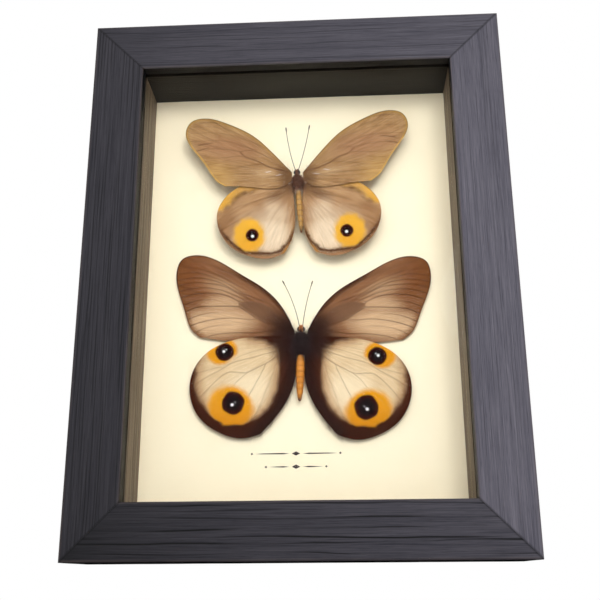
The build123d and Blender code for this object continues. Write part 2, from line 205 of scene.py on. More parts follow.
# ---------------------------------------------------------------- finishes
class Finish:
    """A material in the making, with short ways to its nodes."""

    def __init__(self, name, **constants):
        self.material = bpy.data.materials.new(name)
        self.material.use_nodes = True
        self.tree = self.material.node_tree
        self.surface = self.tree.nodes["Principled BSDF"]
        for socket, value in constants.items():
            self.surface.inputs[socket.replace("_", " ")].default_value = value

    def node(self, kind, **settings):
        made = self.tree.nodes.new(kind)
        for name, value in settings.items():
            setattr(made, name, value)
        return made

    def feed(self, socket, value):
        if isinstance(value, bpy.types.NodeSocket):
            self.tree.links.new(value, socket)
        elif hasattr(value, "__len__") and len(socket.default_value) == 4:
            socket.default_value = (*value[:3], 1.0)
        else:
            socket.default_value = value

    def set(self, socket, value):
        self.feed(self.surface.inputs[socket], value)

    def place(self):
        return self.node("ShaderNodeTexCoord").outputs["Object"]

    def mark(self, name, output="Fac"):
        return self.node("ShaderNodeAttribute", attribute_name=name).outputs[output]

    def stretched(self, where, scale):
        made = self.node("ShaderNodeMapping")
        self.feed(made.inputs["Vector"], where)
        made.inputs["Scale"].default_value = scale
        return made.outputs["Vector"]

    def noise(self, where, scale, detail=2.0, rough=0.5, swirl=0.0):
        made = self.node("ShaderNodeTexNoise")
        self.feed(made.inputs["Vector"], where)
        made.inputs["Scale"].default_value = scale
        made.inputs["Detail"].default_value = detail
        made.inputs["Roughness"].default_value = rough
        made.inputs["Distortion"].default_value = swirl
        return made.outputs["Fac"]

    def spread(self, value, low, high, to_low=0.0, to_high=1.0):
        """Carries a value from one range to another, and holds it there."""
        made = self.node("ShaderNodeMapRange", clamp=True)
        for socket, number in zip(
            ("Value", "From Min", "From Max", "To Min", "To Max"),
            (value, low, high, to_low, to_high),
        ):
            self.feed(made.inputs[socket], number)
        return made.outputs["Result"]

    def sum(self, operation, first, second, clamp=False):
        made = self.node("ShaderNodeMath", operation=operation, use_clamp=clamp)
        self.feed(made.inputs[0], first)
        self.feed(made.inputs[1], second)
        return made.outputs["Value"]

    def mix(self, share, first, second, blend="MIX"):
        made = self.node("ShaderNodeMix", data_type="RGBA", blend_type=blend)
        self.feed(made.inputs["Factor"], share)
        self.feed(made.inputs[MIX_FIRST], first)
        self.feed(made.inputs[MIX_SECOND], second)
        return made.outputs[MIX_RESULT]

    def parts(self, vector):
        made = self.node("ShaderNodeSeparateXYZ")
        self.feed(made.inputs["Vector"], vector)
        return made.outputs["X"], made.outputs["Y"], made.outputs["Z"]

    def bump(self, height, distance, strength=1.0):
        made = self.node("ShaderNodeBump")
        self.feed(made.inputs["Height"], height)
        made.inputs["Distance"].default_value = distance
        made.inputs["Strength"].default_value = strength
        if self.surface.inputs["Normal"].is_linked:
            before = self.surface.inputs["Normal"].links[0].from_socket
            self.tree.links.new(before, made.inputs["Normal"])
        self.set("Normal", made.outputs["Normal"])


def stained_wood(name, dark, light, worn, **constants):
    """Wood that reads its own lay: metres along the grain, metres round the section, and a number
    of its own for each strip."""
    finish = Finish(name, **constants)
    lay = finish.mark("lay", "Vector")
    fine = finish.noise(finish.stretched(lay, (60, 3600, 50)), 1.0, 3.0, 0.65)
    broad = finish.noise(finish.stretched(lay, (14, 420, 50)), 1.0, 2.0, 0.5, 0.4)
    pores = finish.noise(finish.stretched(lay, (210, 5200, 50)), 1.0, 1.0, 0.5)
    tone = finish.sum("MULTIPLY", finish.spread(fine, 0.25, 0.75), 0.68)
    tone = finish.sum("ADD", tone, finish.sum("MULTIPLY", finish.spread(broad, 0.2, 0.8), 0.32))
    body = finish.mix(tone, dark, light)
    short = finish.spread(pores, 0.60, 0.74)
    body = finish.mix(finish.sum("MULTIPLY", short, 0.36), body, [0.4 * part for part in dark])
    # Painted light and shade: each strip's brightness factor multiplies its colour, lighter or darker where
    # the lamps fall more or less on it.
    body = finish.mix(1.0, body, finish.mark("stain"), "MULTIPLY")
    grain = finish.mark("grain")
    body = finish.mix(grain, body, [0.2 * part for part in dark])
    rub = finish.sum("MULTIPLY", finish.mark("wear"), finish.spread(fine, 0.35, 0.75))
    body = finish.mix(finish.sum("MULTIPLY", rub, 0.7), body, worn)
    # Painted shade: the inner mark darkens recessed faces, and lines where shade falls.
    body = finish.mix(finish.mark("inner"), body, [0.3 * part for part in dark])
    seam = finish.sum("MULTIPLY", finish.mark("seam"), 0.6)
    body = finish.mix(seam, body, [0.15 * part for part in dark])
    finish.set("Base Color", body)
    finish.set("Roughness", finish.spread(fine, 0.2, 0.8, 0.62, 0.46))
    finish.bump(fine, 0.00007, 0.8)
    finish.bump(pores, 0.00004, 0.5)
    return finish.material


def pane_glass(name):
    """Thin picture glass that lets lamps through."""
    finish = Finish(
        name, Base_Color=(0.985, 0.995, 0.99, 1), Roughness=0.0, IOR=1.09,
        Transmission_Weight=1.0,
    )
    ways = finish.node("ShaderNodeLightPath")
    clear = finish.node("ShaderNodeBsdfTransparent")
    either = finish.node("ShaderNodeMixShader")
    finish.feed(either.inputs[0], ways.outputs["Is Shadow Ray"])
    finish.feed(either.inputs[1], finish.surface.outputs["BSDF"])
    finish.feed(either.inputs[2], clear.outputs["BSDF"])
    finish.feed(finish.tree.nodes["Material Output"].inputs["Surface"], either.outputs["Shader"])
    return finish.material


# Half the paper that shows between the spacers, in metres.
PAPER_HALF_WIDTH, PAPER_HALF_HEIGHT = 0.0574, 0.0799


def backing_paper(name, plain, toned_and_shaded):
    """Cream paper, clouded, and darker and warmer towards its edges: partly aged paper, partly painted
    shade where the case's walls shade it.
    """
    finish = Finish(name, Roughness=0.85, Specular_IOR_Level=0.12)
    place = finish.place()
    across, _, up = finish.parts(place)
    side = finish.sum("DIVIDE", finish.sum("ABSOLUTE", across, 0.0), PAPER_HALF_WIDTH)
    rise = finish.sum("DIVIDE", finish.sum("SUBTRACT", up, middle_z), PAPER_HALF_HEIGHT)
    rise = finish.sum("ABSOLUTE", rise, 0.0)
    cloud = finish.noise(place, 38, 4.0, 0.6, 0.6)
    # Painted shade, with ageing: the paper darkens towards its edges and corners, next to the walls that
    # shade it.
    edge = finish.sum("MAXIMUM", side, rise)
    edge = finish.sum("ADD", edge, finish.sum("MULTIPLY", cloud, 0.25))
    tone = finish.spread(edge, 0.86, 1.24, 0.0, 0.5)
    blotch = finish.spread(finish.noise(place, 95, 3.0, 0.55), 0.5, 0.75, 0.0, 0.28)
    fibre = finish.noise(finish.stretched(place, (1500, 1500, 700)), 1.0, 3.0, 0.6)
    body = finish.mix(finish.sum("MAXIMUM", tone, blotch), plain, toned_and_shaded)
    flecks = finish.spread(fibre, 0.62, 0.8, 0.0, 0.16)
    finish.set("Base Color", finish.mix(flecks, body, [0.6 * part for part in toned_and_shaded]))
    finish.bump(fibre, 0.00003, 0.5)
    return finish.material


def pressed_board(name, dark, light):
    """Hardboard with the mesh print of its press and loose fibres."""
    finish = Finish(name, Roughness=0.78, Specular_IOR_Level=0.25)
    place = finish.place()
    waves = []
    for turn in (0.785, -0.785):
        turned = finish.node("ShaderNodeMapping")
        finish.feed(turned.inputs["Vector"], place)
        turned.inputs["Rotation"].default_value = (0, turn, 0)
        bars = finish.node("ShaderNodeTexWave", bands_direction="X")
        finish.feed(bars.inputs["Vector"], turned.outputs["Vector"])
        bars.inputs["Scale"].default_value = 190
        bars.inputs["Distortion"].default_value = 1.2
        bars.inputs["Detail Scale"].default_value = 4
        waves.append(bars.outputs["Fac"])
    mesh_print = finish.sum("MULTIPLY", *waves)
    fibre = finish.noise(finish.stretched(place, (900, 900, 350)), 1.0, 5.0, 0.65, 0.8)
    cloud = finish.noise(place, 26, 4.0, 0.6)
    tone = finish.sum("ADD", finish.spread(fibre, 0.3, 0.7, 0.0, 0.6),
                      finish.spread(cloud, 0.3, 0.7, 0.0, 0.35))
    body = finish.mix(tone, dark, light)
    body = finish.mix(finish.spread(mesh_print, 0.0, 0.6, 0.35, 0.0), body,
                      [0.45 * part for part in dark])
    finish.set("Base Color", body)
    finish.bump(mesh_print, 0.00012, 0.7)
    finish.bump(fibre, 0.00008, 0.6)
    return finish.material


def plated_metal(name, plate, tarnish, roughness=0.32):
    """Plated steel with rubbed scratches and dull clouds."""
    finish = Finish(name, Metallic=1.0)
    place = finish.place()
    cloud = finish.noise(place, 260, 5.0, 0.6, 0.5)
    lines = finish.noise(finish.stretched(place, (900, 900, 9000)), 1.0, 2.0, 0.6)
    tint = finish.mix(finish.spread(cloud, 0.42, 0.72, 0.0, 0.7), plate, tarnish)
    finish.set("Base Color", tint)
    rough = finish.sum("ADD", finish.spread(cloud, 0.3, 0.7, roughness - 0.06, roughness + 0.14),
                       finish.spread(lines, 0.3, 0.7, -0.05, 0.05))
    finish.set("Roughness", rough)
    finish.bump(lines, 0.00001, 0.5)
    return finish.material


def felt_pad(name, body):
    finish = Finish(name, Roughness=0.95, Specular_IOR_Level=0.1, Sheen_Weight=0.5,
                    Sheen_Roughness=0.5)
    place = finish.place()
    tufts = finish.noise(place, 2300, 4.0, 0.7, 1.0)
    cloud = finish.noise(place, 500, 2.0)
    tone = finish.sum("MULTIPLY", finish.spread(tufts, 0.3, 0.7), finish.spread(cloud, 0.2, 0.8, 0.6, 1))
    finish.set("Base Color", finish.mix(tone, [0.45 * part for part in body],
                                        [1.5 * part for part in body]))
    finish.bump(tufts, 0.0002, 0.9)
    return finish.material


def plain_card(name, face, core):
    finish = Finish(name, Roughness=0.9, Specular_IOR_Level=0.1)
    place = finish.place()
    fibre = finish.noise(finish.stretched(place, (900, 2600, 900)), 1.0, 4.0, 0.6)
    finish.set("Base Color", finish.mix(finish.spread(fibre, 0.3, 0.7), core, face))
    finish.bump(fibre, 0.00005, 0.5)
    return finish.material


def printed_ink(name, ink):
    finish = Finish(name, Roughness=0.7, Specular_IOR_Level=0.1)
    spots = finish.noise(finish.place(), 2600, 3.0, 0.6)
    finish.set("Base Color", finish.mix(finish.spread(spots, 0.35, 0.75), ink,
                                        [min(1.0, 2.6 * part) for part in ink]))
    return finish.material


# Colours of a wing's scales, from 0 to 255: what covers it, then what each mark on it turns to.
WING_SCALES = {
    "upper_forewing": {
        "ground": (188, 150, 106), "ground_dark": (130, 92, 56), "pale": (206, 174, 134),
        "warm": (158, 114, 84), "gold": (208, 164, 84), "amber": (164, 128, 66),
        "dark": (98, 66, 36), "vein": (92, 56, 34), "rim": (70, 30, 20),
        "spot": (30, 12, 12), "streak": 0.6, "line": 0.5,
    },
    "upper_hindwing": {
        "ground": (196, 156, 114), "ground_dark": (134, 94, 60), "pale": (228, 204, 174),
        "warm": (150, 108, 72), "gold": (224, 166, 52), "amber": (216, 146, 32),
        "dark": (76, 42, 20), "vein": (104, 68, 42), "rim": (70, 20, 4),
        "spot": (20, 4, 4), "streak": 0.5, "line": 0.4,
    },
    "lower_forewing": {
        "ground": (152, 108, 74), "ground_dark": (112, 70, 42), "pale": (206, 170, 132),
        "warm": (118, 70, 34), "gold": (204, 162, 92), "amber": (108, 76, 54),
        "dark": (50, 22, 12), "vein": (56, 26, 12), "rim": (60, 24, 20),
        "spot": (28, 12, 12), "streak": 0.45, "line": 0.3,
    },
    "lower_hindwing": {
        "ground": (230, 204, 163), "ground_dark": (202, 172, 134), "pale": (240, 220, 186),
        "warm": (162, 120, 80), "gold": (218, 148, 26), "amber": (200, 126, 12),
        "dark": (62, 24, 8), "vein": (104, 74, 52), "rim": (52, 12, 4),
        "spot": (12, 2, 4), "streak": 0.26, "line": 0.14,
    },
}


def wing_scales(name, tones):
    """Scaled wing membrane. Each mark on the mesh says how much of one colour shows there."""
    finish = Finish(name, Roughness=0.7, Specular_IOR_Level=0.03)
    tone = {key: shade(*value) for key, value in tones.items() if key not in ("streak", "line")}
    place = finish.place()
    fan = finish.mark("fan", "Vector")
    rays = finish.noise(finish.stretched(fan, (30, 1.6, 1)), 1.0, 4.0, 0.62)
    fine_rays = finish.noise(finish.stretched(fan, (150, 5, 1)), 1.0, 2.0, 0.6)
    thin_rays = finish.noise(finish.stretched(fan, (64, 1.4, 1)), 1.0, 2.0, 0.5)
    dust = finish.noise(place, 5200, 2.0, 0.6)
    cloud = finish.noise(place, 190, 3.0, 0.5)
    low = finish.sum("MULTIPLY", finish.spread(rays, 0.3, 0.7), 0.6)
    low = finish.sum("ADD", low, finish.sum("MULTIPLY", finish.spread(cloud, 0.3, 0.7), 0.4))
    body = finish.mix(low, tone["ground_dark"], tone["ground"])
    body = finish.mix(finish.mark("pale"), body, tone["pale"])
    body = finish.mix(finish.mark("warm"), body, tone["warm"])
    body = finish.mix(finish.spread(thin_rays, 0.54, 0.72, 0.0, tones["line"]), body, tone["vein"])
    body = finish.mix(finish.mark("vein"), body, tone["vein"])
    body = finish.mix(finish.mark("gold"), body, tone["gold"])
    body = finish.mix(finish.mark("amber"), body, tone["amber"])
    feather = finish.spread(fine_rays, 0.25, 0.75, -0.22, 0.22)
    dark = finish.mark("dark")
    edge = finish.sum("MULTIPLY", dark, finish.sum("SUBTRACT", 1.0, dark))
    dark = finish.sum("ADD", dark, finish.sum("MULTIPLY", edge, finish.sum("MULTIPLY", feather, 4.0)), True)
    body = finish.mix(dark, body, tone["dark"])
    body = finish.mix(finish.mark("deep"), body, [0.3 * part for part in tone["dark"]])
    hatch = finish.spread(fine_rays, 0.3, 0.7, 1.0 - tones["streak"] * 0.5, 1.0 + tones["streak"] * 0.22)
    body = finish.mix(1.0, body, hatch, "MULTIPLY")
    body = finish.mix(finish.mark("rim"), body, tone["rim"])
    body = finish.mix(finish.mark("spot"), body, tone["spot"])
    grit = finish.spread(dust, 0.3, 0.7, 0.93, 1.06)
    body = finish.mix(1.0, body, grit, "MULTIPLY")
    # The pupil mark holds the eyespots' pale pupils, and painted highlights (glints) as well.
    body = finish.mix(finish.mark("pupil"), body, (0.93, 0.9, 0.92))
    finish.set("Base Color", body)
    finish.bump(fine_rays, 0.00005, 0.5)
    finish.bump(dust, 0.00002, 0.6)
    return finish.material


def insect_coat(name, root, tip, roughness=0.6):
    """Hair and skin, darker at the root of each hair."""
    finish = Finish(name, Roughness=roughness, Specular_IOR_Level=0.2)
    speckle = finish.noise(finish.place(), 1500, 3.0, 0.6)
    share = finish.sum("ADD", finish.mark("reach"), finish.spread(speckle, 0.3, 0.7, -0.3, 0.45), True)
    finish.set("Base Color", finish.mix(share, root, tip))
    finish.bump(speckle, 0.00004, 0.6)
    return finish.material


def ringed_skin(name, plate, joint, tip):
    """Abdomen: pale plates, darker joints, painted shade along its flanks and a dark end."""
    finish = Finish(name, Roughness=0.5, Specular_IOR_Level=0.25)
    place = finish.place()
    down = finish.noise(finish.stretched(place, (2600, 2600, 700)), 1.0, 3.0, 0.6)
    body = finish.mix(finish.spread(down, 0.3, 0.75), [0.72 * part for part in plate], plate)
    body = finish.mix(finish.mark("ring"), body, joint)
    body = finish.mix(finish.mark("tail"), body, tip)
    finish.set("Base Color", body)
    finish.bump(down, 0.00006, 0.7)
    return finish.material


def eye_lens(name):
    finish = Finish(name, Roughness=0.28, Specular_IOR_Level=0.5, Coat_Weight=0.3)
    cells = finish.node("ShaderNodeTexVoronoi")
    finish.feed(cells.inputs["Vector"], finish.place())
    cells.inputs["Scale"].default_value = 9000
    finish.set("Base Color", finish.mix(cells.outputs["Distance"], shade(52, 24, 18), shade(24, 12, 12)))
    finish.bump(cells.outputs["Distance"], 0.00002, 0.5)
    return finish.material


# ---------------------------------------------------------------- making pieces
def piece(name, points, faces, materials, marks=None, sharp=35, material_of=None):
    """A mesh object at the origin with its marks stored on its points."""
    mesh = bpy.data.meshes.new(name)
    mesh.from_pydata([tuple(p) for p in points], [], [tuple(f) for f in faces])
    for material in materials if isinstance(materials, (list, tuple)) else [materials]:
        mesh.materials.append(material)
    mesh.polygons.foreach_set("use_smooth", [True] * len(mesh.polygons))
    if material_of is not None:
        mesh.polygons.foreach_set("material_index", material_of)
    for mark, values in (marks or {}).items():
        values = np.asarray(values, np.float32)
        kind, key = ("FLOAT", "value") if values.ndim == 1 else ("FLOAT_VECTOR", "vector")
        mesh.attributes.new(mark, kind, "POINT").data.foreach_set(key, values.ravel())
    mesh.update()
    if sharp:
        mesh.set_sharp_from_angle(angle=math.radians(sharp))
    made = bpy.data.objects.new(name, mesh)
    bpy.context.scene.collection.objects.link(made)
    return made


def settle(made, stands_for=(), body=BODY):
    """Hands a finished piece over to the frame."""
    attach(made, body)
    if stands_for:
        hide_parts(*stands_for)
    return made


def from_bmesh(name, shape, materials, marks=None, sharp=35):
    bmesh.ops.recalc_face_normals(shape, faces=shape.faces)
    shape.verts.index_update()
    points = [v.co.copy() for v in shape.verts]
    faces = [[v.index for v in f.verts] for f in shape.faces]
    which = [f.material_index for f in shape.faces]
    shape.free()
    return piece(name, points, faces, materials, marks, sharp, which)


def merged_copy(node):
    """A bmesh of a CAD node with its loose triangles joined and its flats made whole."""
    shape = bmesh.new()
    shape.from_mesh(frame["nodes"][node].data)
    bmesh.ops.remove_doubles(shape, verts=shape.verts, dist=2e-6)
    bmesh.ops.dissolve_limit(
        shape, angle_limit=math.radians(1.0), verts=shape.verts, edges=shape.edges
    )
    return shape


def soften(shape, radius, over=40, segments=2):
    """Rounds the edges of a bmesh that are sharper than an angle."""
    edges = [
        e for e in shape.edges
        if len(e.link_faces) == 2 and e.calc_face_angle(0) > math.radians(over)
    ]
    bmesh.ops.bevel(
        shape, geom=edges, offset=radius, segments=segments, profile=0.5, affect="EDGES",
        clamp_overlap=True,
    )
    return shape


def wobble(places, chance, reach):
    """Smooth random values from -1 to 1 along a run, with a free one every reach."""
    steps = (places - places.min()) / reach
    cell = np.floor(steps).astype(int)
    values = chance.uniform(-1, 1, cell.max() + 2)
    part = steps - cell
    part = part * part * (3 - 2 * part)
    return values[cell] * (1 - part) + values[cell + 1] * part


def eased(values, low, high):
    part = np.clip((values - low) / (high - low), 0, 1)
    return part * part * (3 - 2 * part)


def ripple(x, y, reach, seed):
    """Smooth random values from -1 to 1 over a plane."""
    chance = np.random.default_rng(seed)
    table = chance.uniform(-1, 1, (64, 64))
    u, v = x / reach + 20.5, y / reach + 20.5
    i, j = np.floor(u).astype(int), np.floor(v).astype(int)
    s, t = u - i, v - j
    s, t = s * s * (3 - 2 * s), t * t * (3 - 2 * t)
    corner = lambda a, b: table[(i + a) % 64, (j + b) % 64]
    low = corner(0, 0) * (1 - s) + corner(1, 0) * s
    high = corner(0, 1) * (1 - s) + corner(1, 1) * s
    return low * (1 - t) + high * t


# ---------------------------------------------------------------- strips of wood
def rounded_section(corners):
    """Points round a closed section. Each corner has its place, its radius and the spacing of the
    points on the run after it. Gives places, and 1 on a rounded edge."""
    ring, edge = [], []
    count = len(corners)
    ends = []
    for i, (place, radius, _) in enumerate(corners):
        place = Vector(place)
        before = (Vector(corners[i - 1][0]) - place).normalized()
        after = (Vector(corners[(i + 1) % count][0]) - place).normalized()
        start, end = place + before * radius, place + after * radius
        centre = place + (before + after) * radius
        turn = []
        for k in range(5):
            angle = k / 4 * math.pi / 2
            turn.append(centre - after * radius * math.cos(angle) - before * radius * math.sin(angle))
        ends.append((turn, start, end))
    for i, (_, radius, spacing) in enumerate(corners):
        turn, _, end = ends[i]
        ring += turn
        edge += [1.0] * 5 if radius > 0.3 * MM else [0.0] * 5
        start = ends[(i + 1) % count][1]
        steps = max(1, round((start - end).length / spacing))
        for k in range(1, steps):
            ring.append(end.lerp(start, k / steps))
            edge.append(0.0)
    return np.array(ring), np.array(edge)


def strip(name, section, length, corner, inward, along, mitred, pitch, step, material, seed,
          stain=(1.0, 1.0), force_of=1.0, dark_past=1.0):
    """A strip of wood: its section runs inwards and backwards from one edge, and its ends are
    square or mitred. Marks: lay, grain, wear, a brightness factor of painted light and shade (standing in
    for how the lamps fall on the strip), inner (painted shade: dark recessed faces on a rail, dark lines on
    a spacer's front) and seam."""
    settings = bpy.context.scene.display_case
    ring, edge = rounded_section(section)
    count = len(ring)
    hops = np.linalg.norm(np.roll(ring, -1, axis=0) - ring, axis=1)
    around = np.concatenate([[0], np.cumsum(hops)[:-1]])
    ahead = np.roll(ring, -1, axis=0) - np.roll(ring, 1, axis=0)
    ahead /= np.linalg.norm(ahead, axis=1)[:, None]
    spin = np.sum(ring[:, 0] * np.roll(ring[:, 1], -1) - np.roll(ring[:, 0], -1) * ring[:, 1])
    outwards = np.stack([ahead[:, 1], -ahead[:, 0]], 1) * (1 if spin > 0 else -1)
    stations = np.linspace(-1, 1, round(length / step) + 1)
    reach = length / 2 - (ring[:, 0] + settings.mitre_gap if mitred else 0 * ring[:, 0])
    run = stations[:, None] * reach[None, :]
    lap = np.repeat(around[None, :], len(stations), 0)
    chance = np.random.default_rng(seed)
    grain = np.zeros_like(run)
    for line in np.arange(0.3 * pitch, around.max(), pitch):
        bend = line + chance.uniform(-0.3, 0.3) * pitch
        bend = bend + 0.20 * pitch * wobble(run, chance, 34 * MM)
        bend = bend + 0.07 * pitch * wobble(run, chance, 9 * MM)
        force = force_of * np.clip(0.62 + 0.75 * wobble(run, chance, 21 * MM), 0, 1)
        wide = (0.15 + 0.05 * chance.uniform(-1, 1)) * MM * (1.0 + 0.4 * force)
        grain = np.maximum(grain, force * np.exp(-(((lap - bend) / wide) ** 2)))
    rounding = np.convolve(np.tile(edge, 3), [0.25, 0.5, 0.25], "same")[count:2 * count]
    past = (reach - np.abs(run)) / math.sqrt(2)
    seam = np.exp(-((past / (0.06 * MM)) ** 2)) if mitred else 0 * run
    share = run / length + 0.5
    # Painted light and shade: the brightness factor runs from the strip's start to its end as the lamps
    # fall along it. On a rail it holds on the front face only, and the other faces take a fixed factor of
    # 1.3.
    stain = stain[0] + (stain[1] - stain[0]) * share ** 0.7
    if mitred:
        stain = 1.3 + (stain - 1.3) * (1 - eased(ring[:, 1], 0.6 * MM, 5 * MM))
    # Painted shade: on a rail, the lip's inner face and the rabbet behind it are darkened as recessed faces
    # in shade.
    inner = ((ring[:, 0] > dark_past - 0.1 * MM) & (ring[:, 1] > 0.7 * MM)).astype(float)
    # Painted shade on a spacer: dark lines at its front edge and 1.4 mm behind it stand in for the shadow
    # of the lip's edge and the gap at the glass.
    if not mitred:
        inner = np.where((ring[:, 1] < 0.5 * MM) | (np.abs(ring[:, 1] - 1.4 * MM) < 0.25 * MM), 0.9, 0)
    cut = -settings.relief * grain * eased(past, 0, 0.4 * MM) * (1 - rounding)[None, :]
    cut = cut + 0.03 * MM * wobble(run + 0.37 * lap, chance, 5 * MM) * (1 - rounding)[None, :]
    flat = ring[None, :, :] + cut[:, :, None] * outwards[None, :, :]
    points = (
        np.array(corner)[None, None, :]
        + run[:, :, None] * np.array(along)
        + flat[:, :, :1] * np.array(inward)
        + flat[:, :, 1:] * np.array((0, 1, 0))
    ).reshape(-1, 3)
    rows = len(stations)
    marks = {
        "lay": np.stack([run, lap, np.full_like(run, 0.01 * seed)], -1).reshape(-1, 3),
        "grain": grain.ravel(),
        "wear": np.repeat((rounding * (1 - inner))[None, :], rows, 0).ravel(),
        "inner": np.repeat(inner[None, :], rows, 0).ravel(),
        "stain": stain.ravel(),
        "seam": seam.ravel(),
    }
    made = piece(name, points, tube_faces(rows, count, True), material, marks, sharp=50)
    square_up(made)
    return made


def tube_faces(rows, count, first_turned=False):
    """Faces of a closed tube whose points come ring by ring, with a cap on both ends."""
    faces = []
    for i in range(rows - 1):
        for k in range(count):
            n = (k + 1) % count
            faces.append((i * count + k, i * count + n, (i + 1) * count + n, (i + 1) * count + k))
    first = tuple(range(count))
    faces.append(first[::-1] if first_turned else first)
    faces.append(tuple((rows - 1) * count + k for k in range(count)))
    return faces


def square_up(made):
    """Turns a closed mesh's faces outwards without changing its points."""
    shape = bmesh.new()
    shape.from_mesh(made.data)
    bmesh.ops.recalc_face_normals(shape, faces=shape.faces)
    if shape.calc_volume(signed=True) < 0:
        bmesh.ops.reverse_faces(shape, faces=shape.faces)
    shape.to_mesh(made.data)
    shape.free()
    made.data.update()


def nail_slots():
    """The cutter that opens the V slots in the rails' backs."""
    shape = merged_copy("corner_v_nails")
    back = outer_high.y
    for v in shape.verts:
        v.co.y = back + 0.5 * MM if v.co.y > back - 5 * MM else v.co.y - 0.05 * MM
    bmesh.ops.recalc_face_normals(shape, faces=shape.faces)
    shape.normal_update()
    shifts = [(v, v.normal.copy()) for v in shape.verts]
    for v, normal in shifts:
        normal.y = 0
        v.co += normal * 0.04 * MM
    return from_bmesh("nail_slot_cutter", shape, [])


class CASE_OT_rails(bpy.types.Operator):
    """Four mitred rails of stained wood with embossed grain"""

    bl_idname = "display_case.rails"
    bl_label = "Rails"

    def execute(self, context):
        settings = context.scene.display_case
        material = stained_wood(
            "charcoal_wood", settings.wood_dark, settings.wood_light, settings.wood_worn,
            Specular_IOR_Level=0.22,
        )
        rail_wall = outer_high.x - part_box("spacer_right")[1].x - 0.2 * MM
        fine, coarse = 0.2 * MM, 4 * MM
        section = [
            ((0, 0), settings.edge_round, fine),
            ((rail_face, 0), settings.lip_round, fine),
            ((rail_face, lip_thickness), 0.15 * MM, coarse),
            ((rail_wall, lip_thickness), 0.05 * MM, coarse),
            ((rail_wall, rail_depth), 0.2 * MM, 0.6 * MM),
            ((0, rail_depth), settings.edge_round, 0.35 * MM),
        ]
        front = outer_low.y
        centre = outer_low.z + case_height / 2
        cross, upright = settings.cross_pitch, settings.upright_pitch
        # Each rail: length, corner, inward and along directions, grain pitch, seed, painted light and shade
        # (brightness factor of the front at the rail's start and end, as the lamps fall on it) and grain
        # force.
        places = {
            "bottom_rail": (case_width, (0, front, outer_low.z), (0, 0, 1), (1, 0, 0), cross, 11,
                            (0.2, 2.8), 1.25),
            "top_rail": (case_width, (0, front, outer_high.z), (0, 0, -1), (1, 0, 0), cross, 12,
                         (1.2, 3.4), 0.6),
            "left_rail": (case_height, (outer_low.x, front, centre), (1, 0, 0), (0, 0, 1), upright,
                          13, (0.95, 1.35), 0.8),
            "right_rail": (case_height, (outer_high.x, front, centre), (-1, 0, 0), (0, 0, 1),
                           upright, 14, (5.0, 4.2), 0.3),
        }
        cutter = nail_slots()
        for name, (length, corner, inward, along, pitch, seed, stain, force) in places.items():
            made = strip(
                f"{name}_wood", section, length, corner, inward, along, True, pitch, 1.0 * MM,
                material, seed, stain, force, rail_face,
            )
            slots = made.modifiers.new("Nail slots", "BOOLEAN")
            slots.operation = "DIFFERENCE"
            slots.object = cutter
            slots.solver = "EXACT"
            flatten(made)
            settle(made, (name,))
        bpy.data.objects.remove(cutter)
        return {"FINISHED"}


def flatten(made):
    """Applies a piece's modifiers to its mesh."""
    graph = bpy.context.evaluated_depsgraph_get()
    result = bpy.data.meshes.new_from_object(made.evaluated_get(graph))
    if not result.polygons:
        raise RuntimeError(f"{made.name} came out empty")
    made.modifiers.clear()
    result.name = made.name
    made.data = result
    return made


class CASE_OT_spacers(bpy.types.Operator):
    """Four wooden strips that hold the glass off the paper"""

    bl_idname = "display_case.spacers"
    bl_label = "Spacers"

    def execute(self, context):
        settings = context.scene.display_case
        material = stained_wood(
            "lining_wood", settings.lining_dark, settings.lining_light, settings.lining_light,
            Specular_IOR_Level=0.25,
        )
        for seed, name in enumerate(("spacer_top", "spacer_bottom", "spacer_left", "spacer_right")):
            low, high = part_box(name)
            upright = name in ("spacer_left", "spacer_right")
            thick = high.x - low.x if upright else high.z - low.z
            length = high.z - low.z if upright else high.x - low.x
            deep = high.y - low.y
            section = [
                ((0, 0), 0.15 * MM, 0.5 * MM),
                ((thick, 0), 0.15 * MM, 0.2 * MM),
                ((thick, deep), 0.15 * MM, 0.5 * MM),
                ((0, deep), 0.15 * MM, 4 * MM),
            ]
            outer = {"spacer_top": (0, 0, 1), "spacer_bottom": (0, 0, -1),
                     "spacer_left": (-1, 0, 0), "spacer_right": (1, 0, 0)}[name]
            outer = Vector(outer)
            centre = (low + high) / 2
            corner = Vector((centre.x, low.y, centre.z)) + outer * thick / 2
            along = (0, 0, 1) if upright else (1, 0, 0)
            # Painted shade darkens the top spacer, which lies in shade, and painted light brightens the
            # other spacers, through their brightness factor.
            made = strip(
                f"{name}_wood", section, length, corner, -outer, along, False, 1.1 * MM,
                1.2 * MM, material, 31 + seed, (0.07, 0.07) if name == "spacer_top" else (1.7, 1.7),
            )
            settle(made, (name,))
        return {"FINISHED"}


class CASE_OT_sheets(bpy.types.Operator):
    """Glass with ground edges, backing paper, mount board and the hardboard back"""

    bl_idname = "display_case.sheets"
    bl_label = "Glass, paper and boards"

    def execute(self, context):
        settings = context.scene.display_case
        pane = soften(merged_copy("glass_pane"), 0.2 * MM, segments=1)
        made = from_bmesh("glass_pane_ground", pane, pane_glass("clear_glass"), sharp=20)
        settle(made, ("glass_pane",))
        panel = soften(merged_copy("back_panel"), 0.25 * MM, segments=2)
        board = pressed_board("hardboard", settings.hardboard_dark, settings.hardboard_light)
        settle(from_bmesh("back_panel_sheet", panel, board, sharp=30), ("back_panel",))
        paint_node("backing_paper", backing_paper("cream_paper", settings.paper, settings.paper_toned_and_shaded))
        card = plain_card("mount_board", shade(226, 222, 210), shade(176, 168, 150))
        paint_node("mount_board", card)
        return {"FINISHED"}


def paint_node(node, material):
    """Gives a carried-over CAD node its finish."""
    slots = frame["nodes"][node].data.materials
    slots.clear()
    slots.append(material)


# ---------------------------------------------------------------- printed ornament
# Middle of the printed rules, then the height and half the length of each, in millimetres.
RULES_MIDDLE = -1.8
RULES = ((36.8, 14.5), (32.2, 9.5))


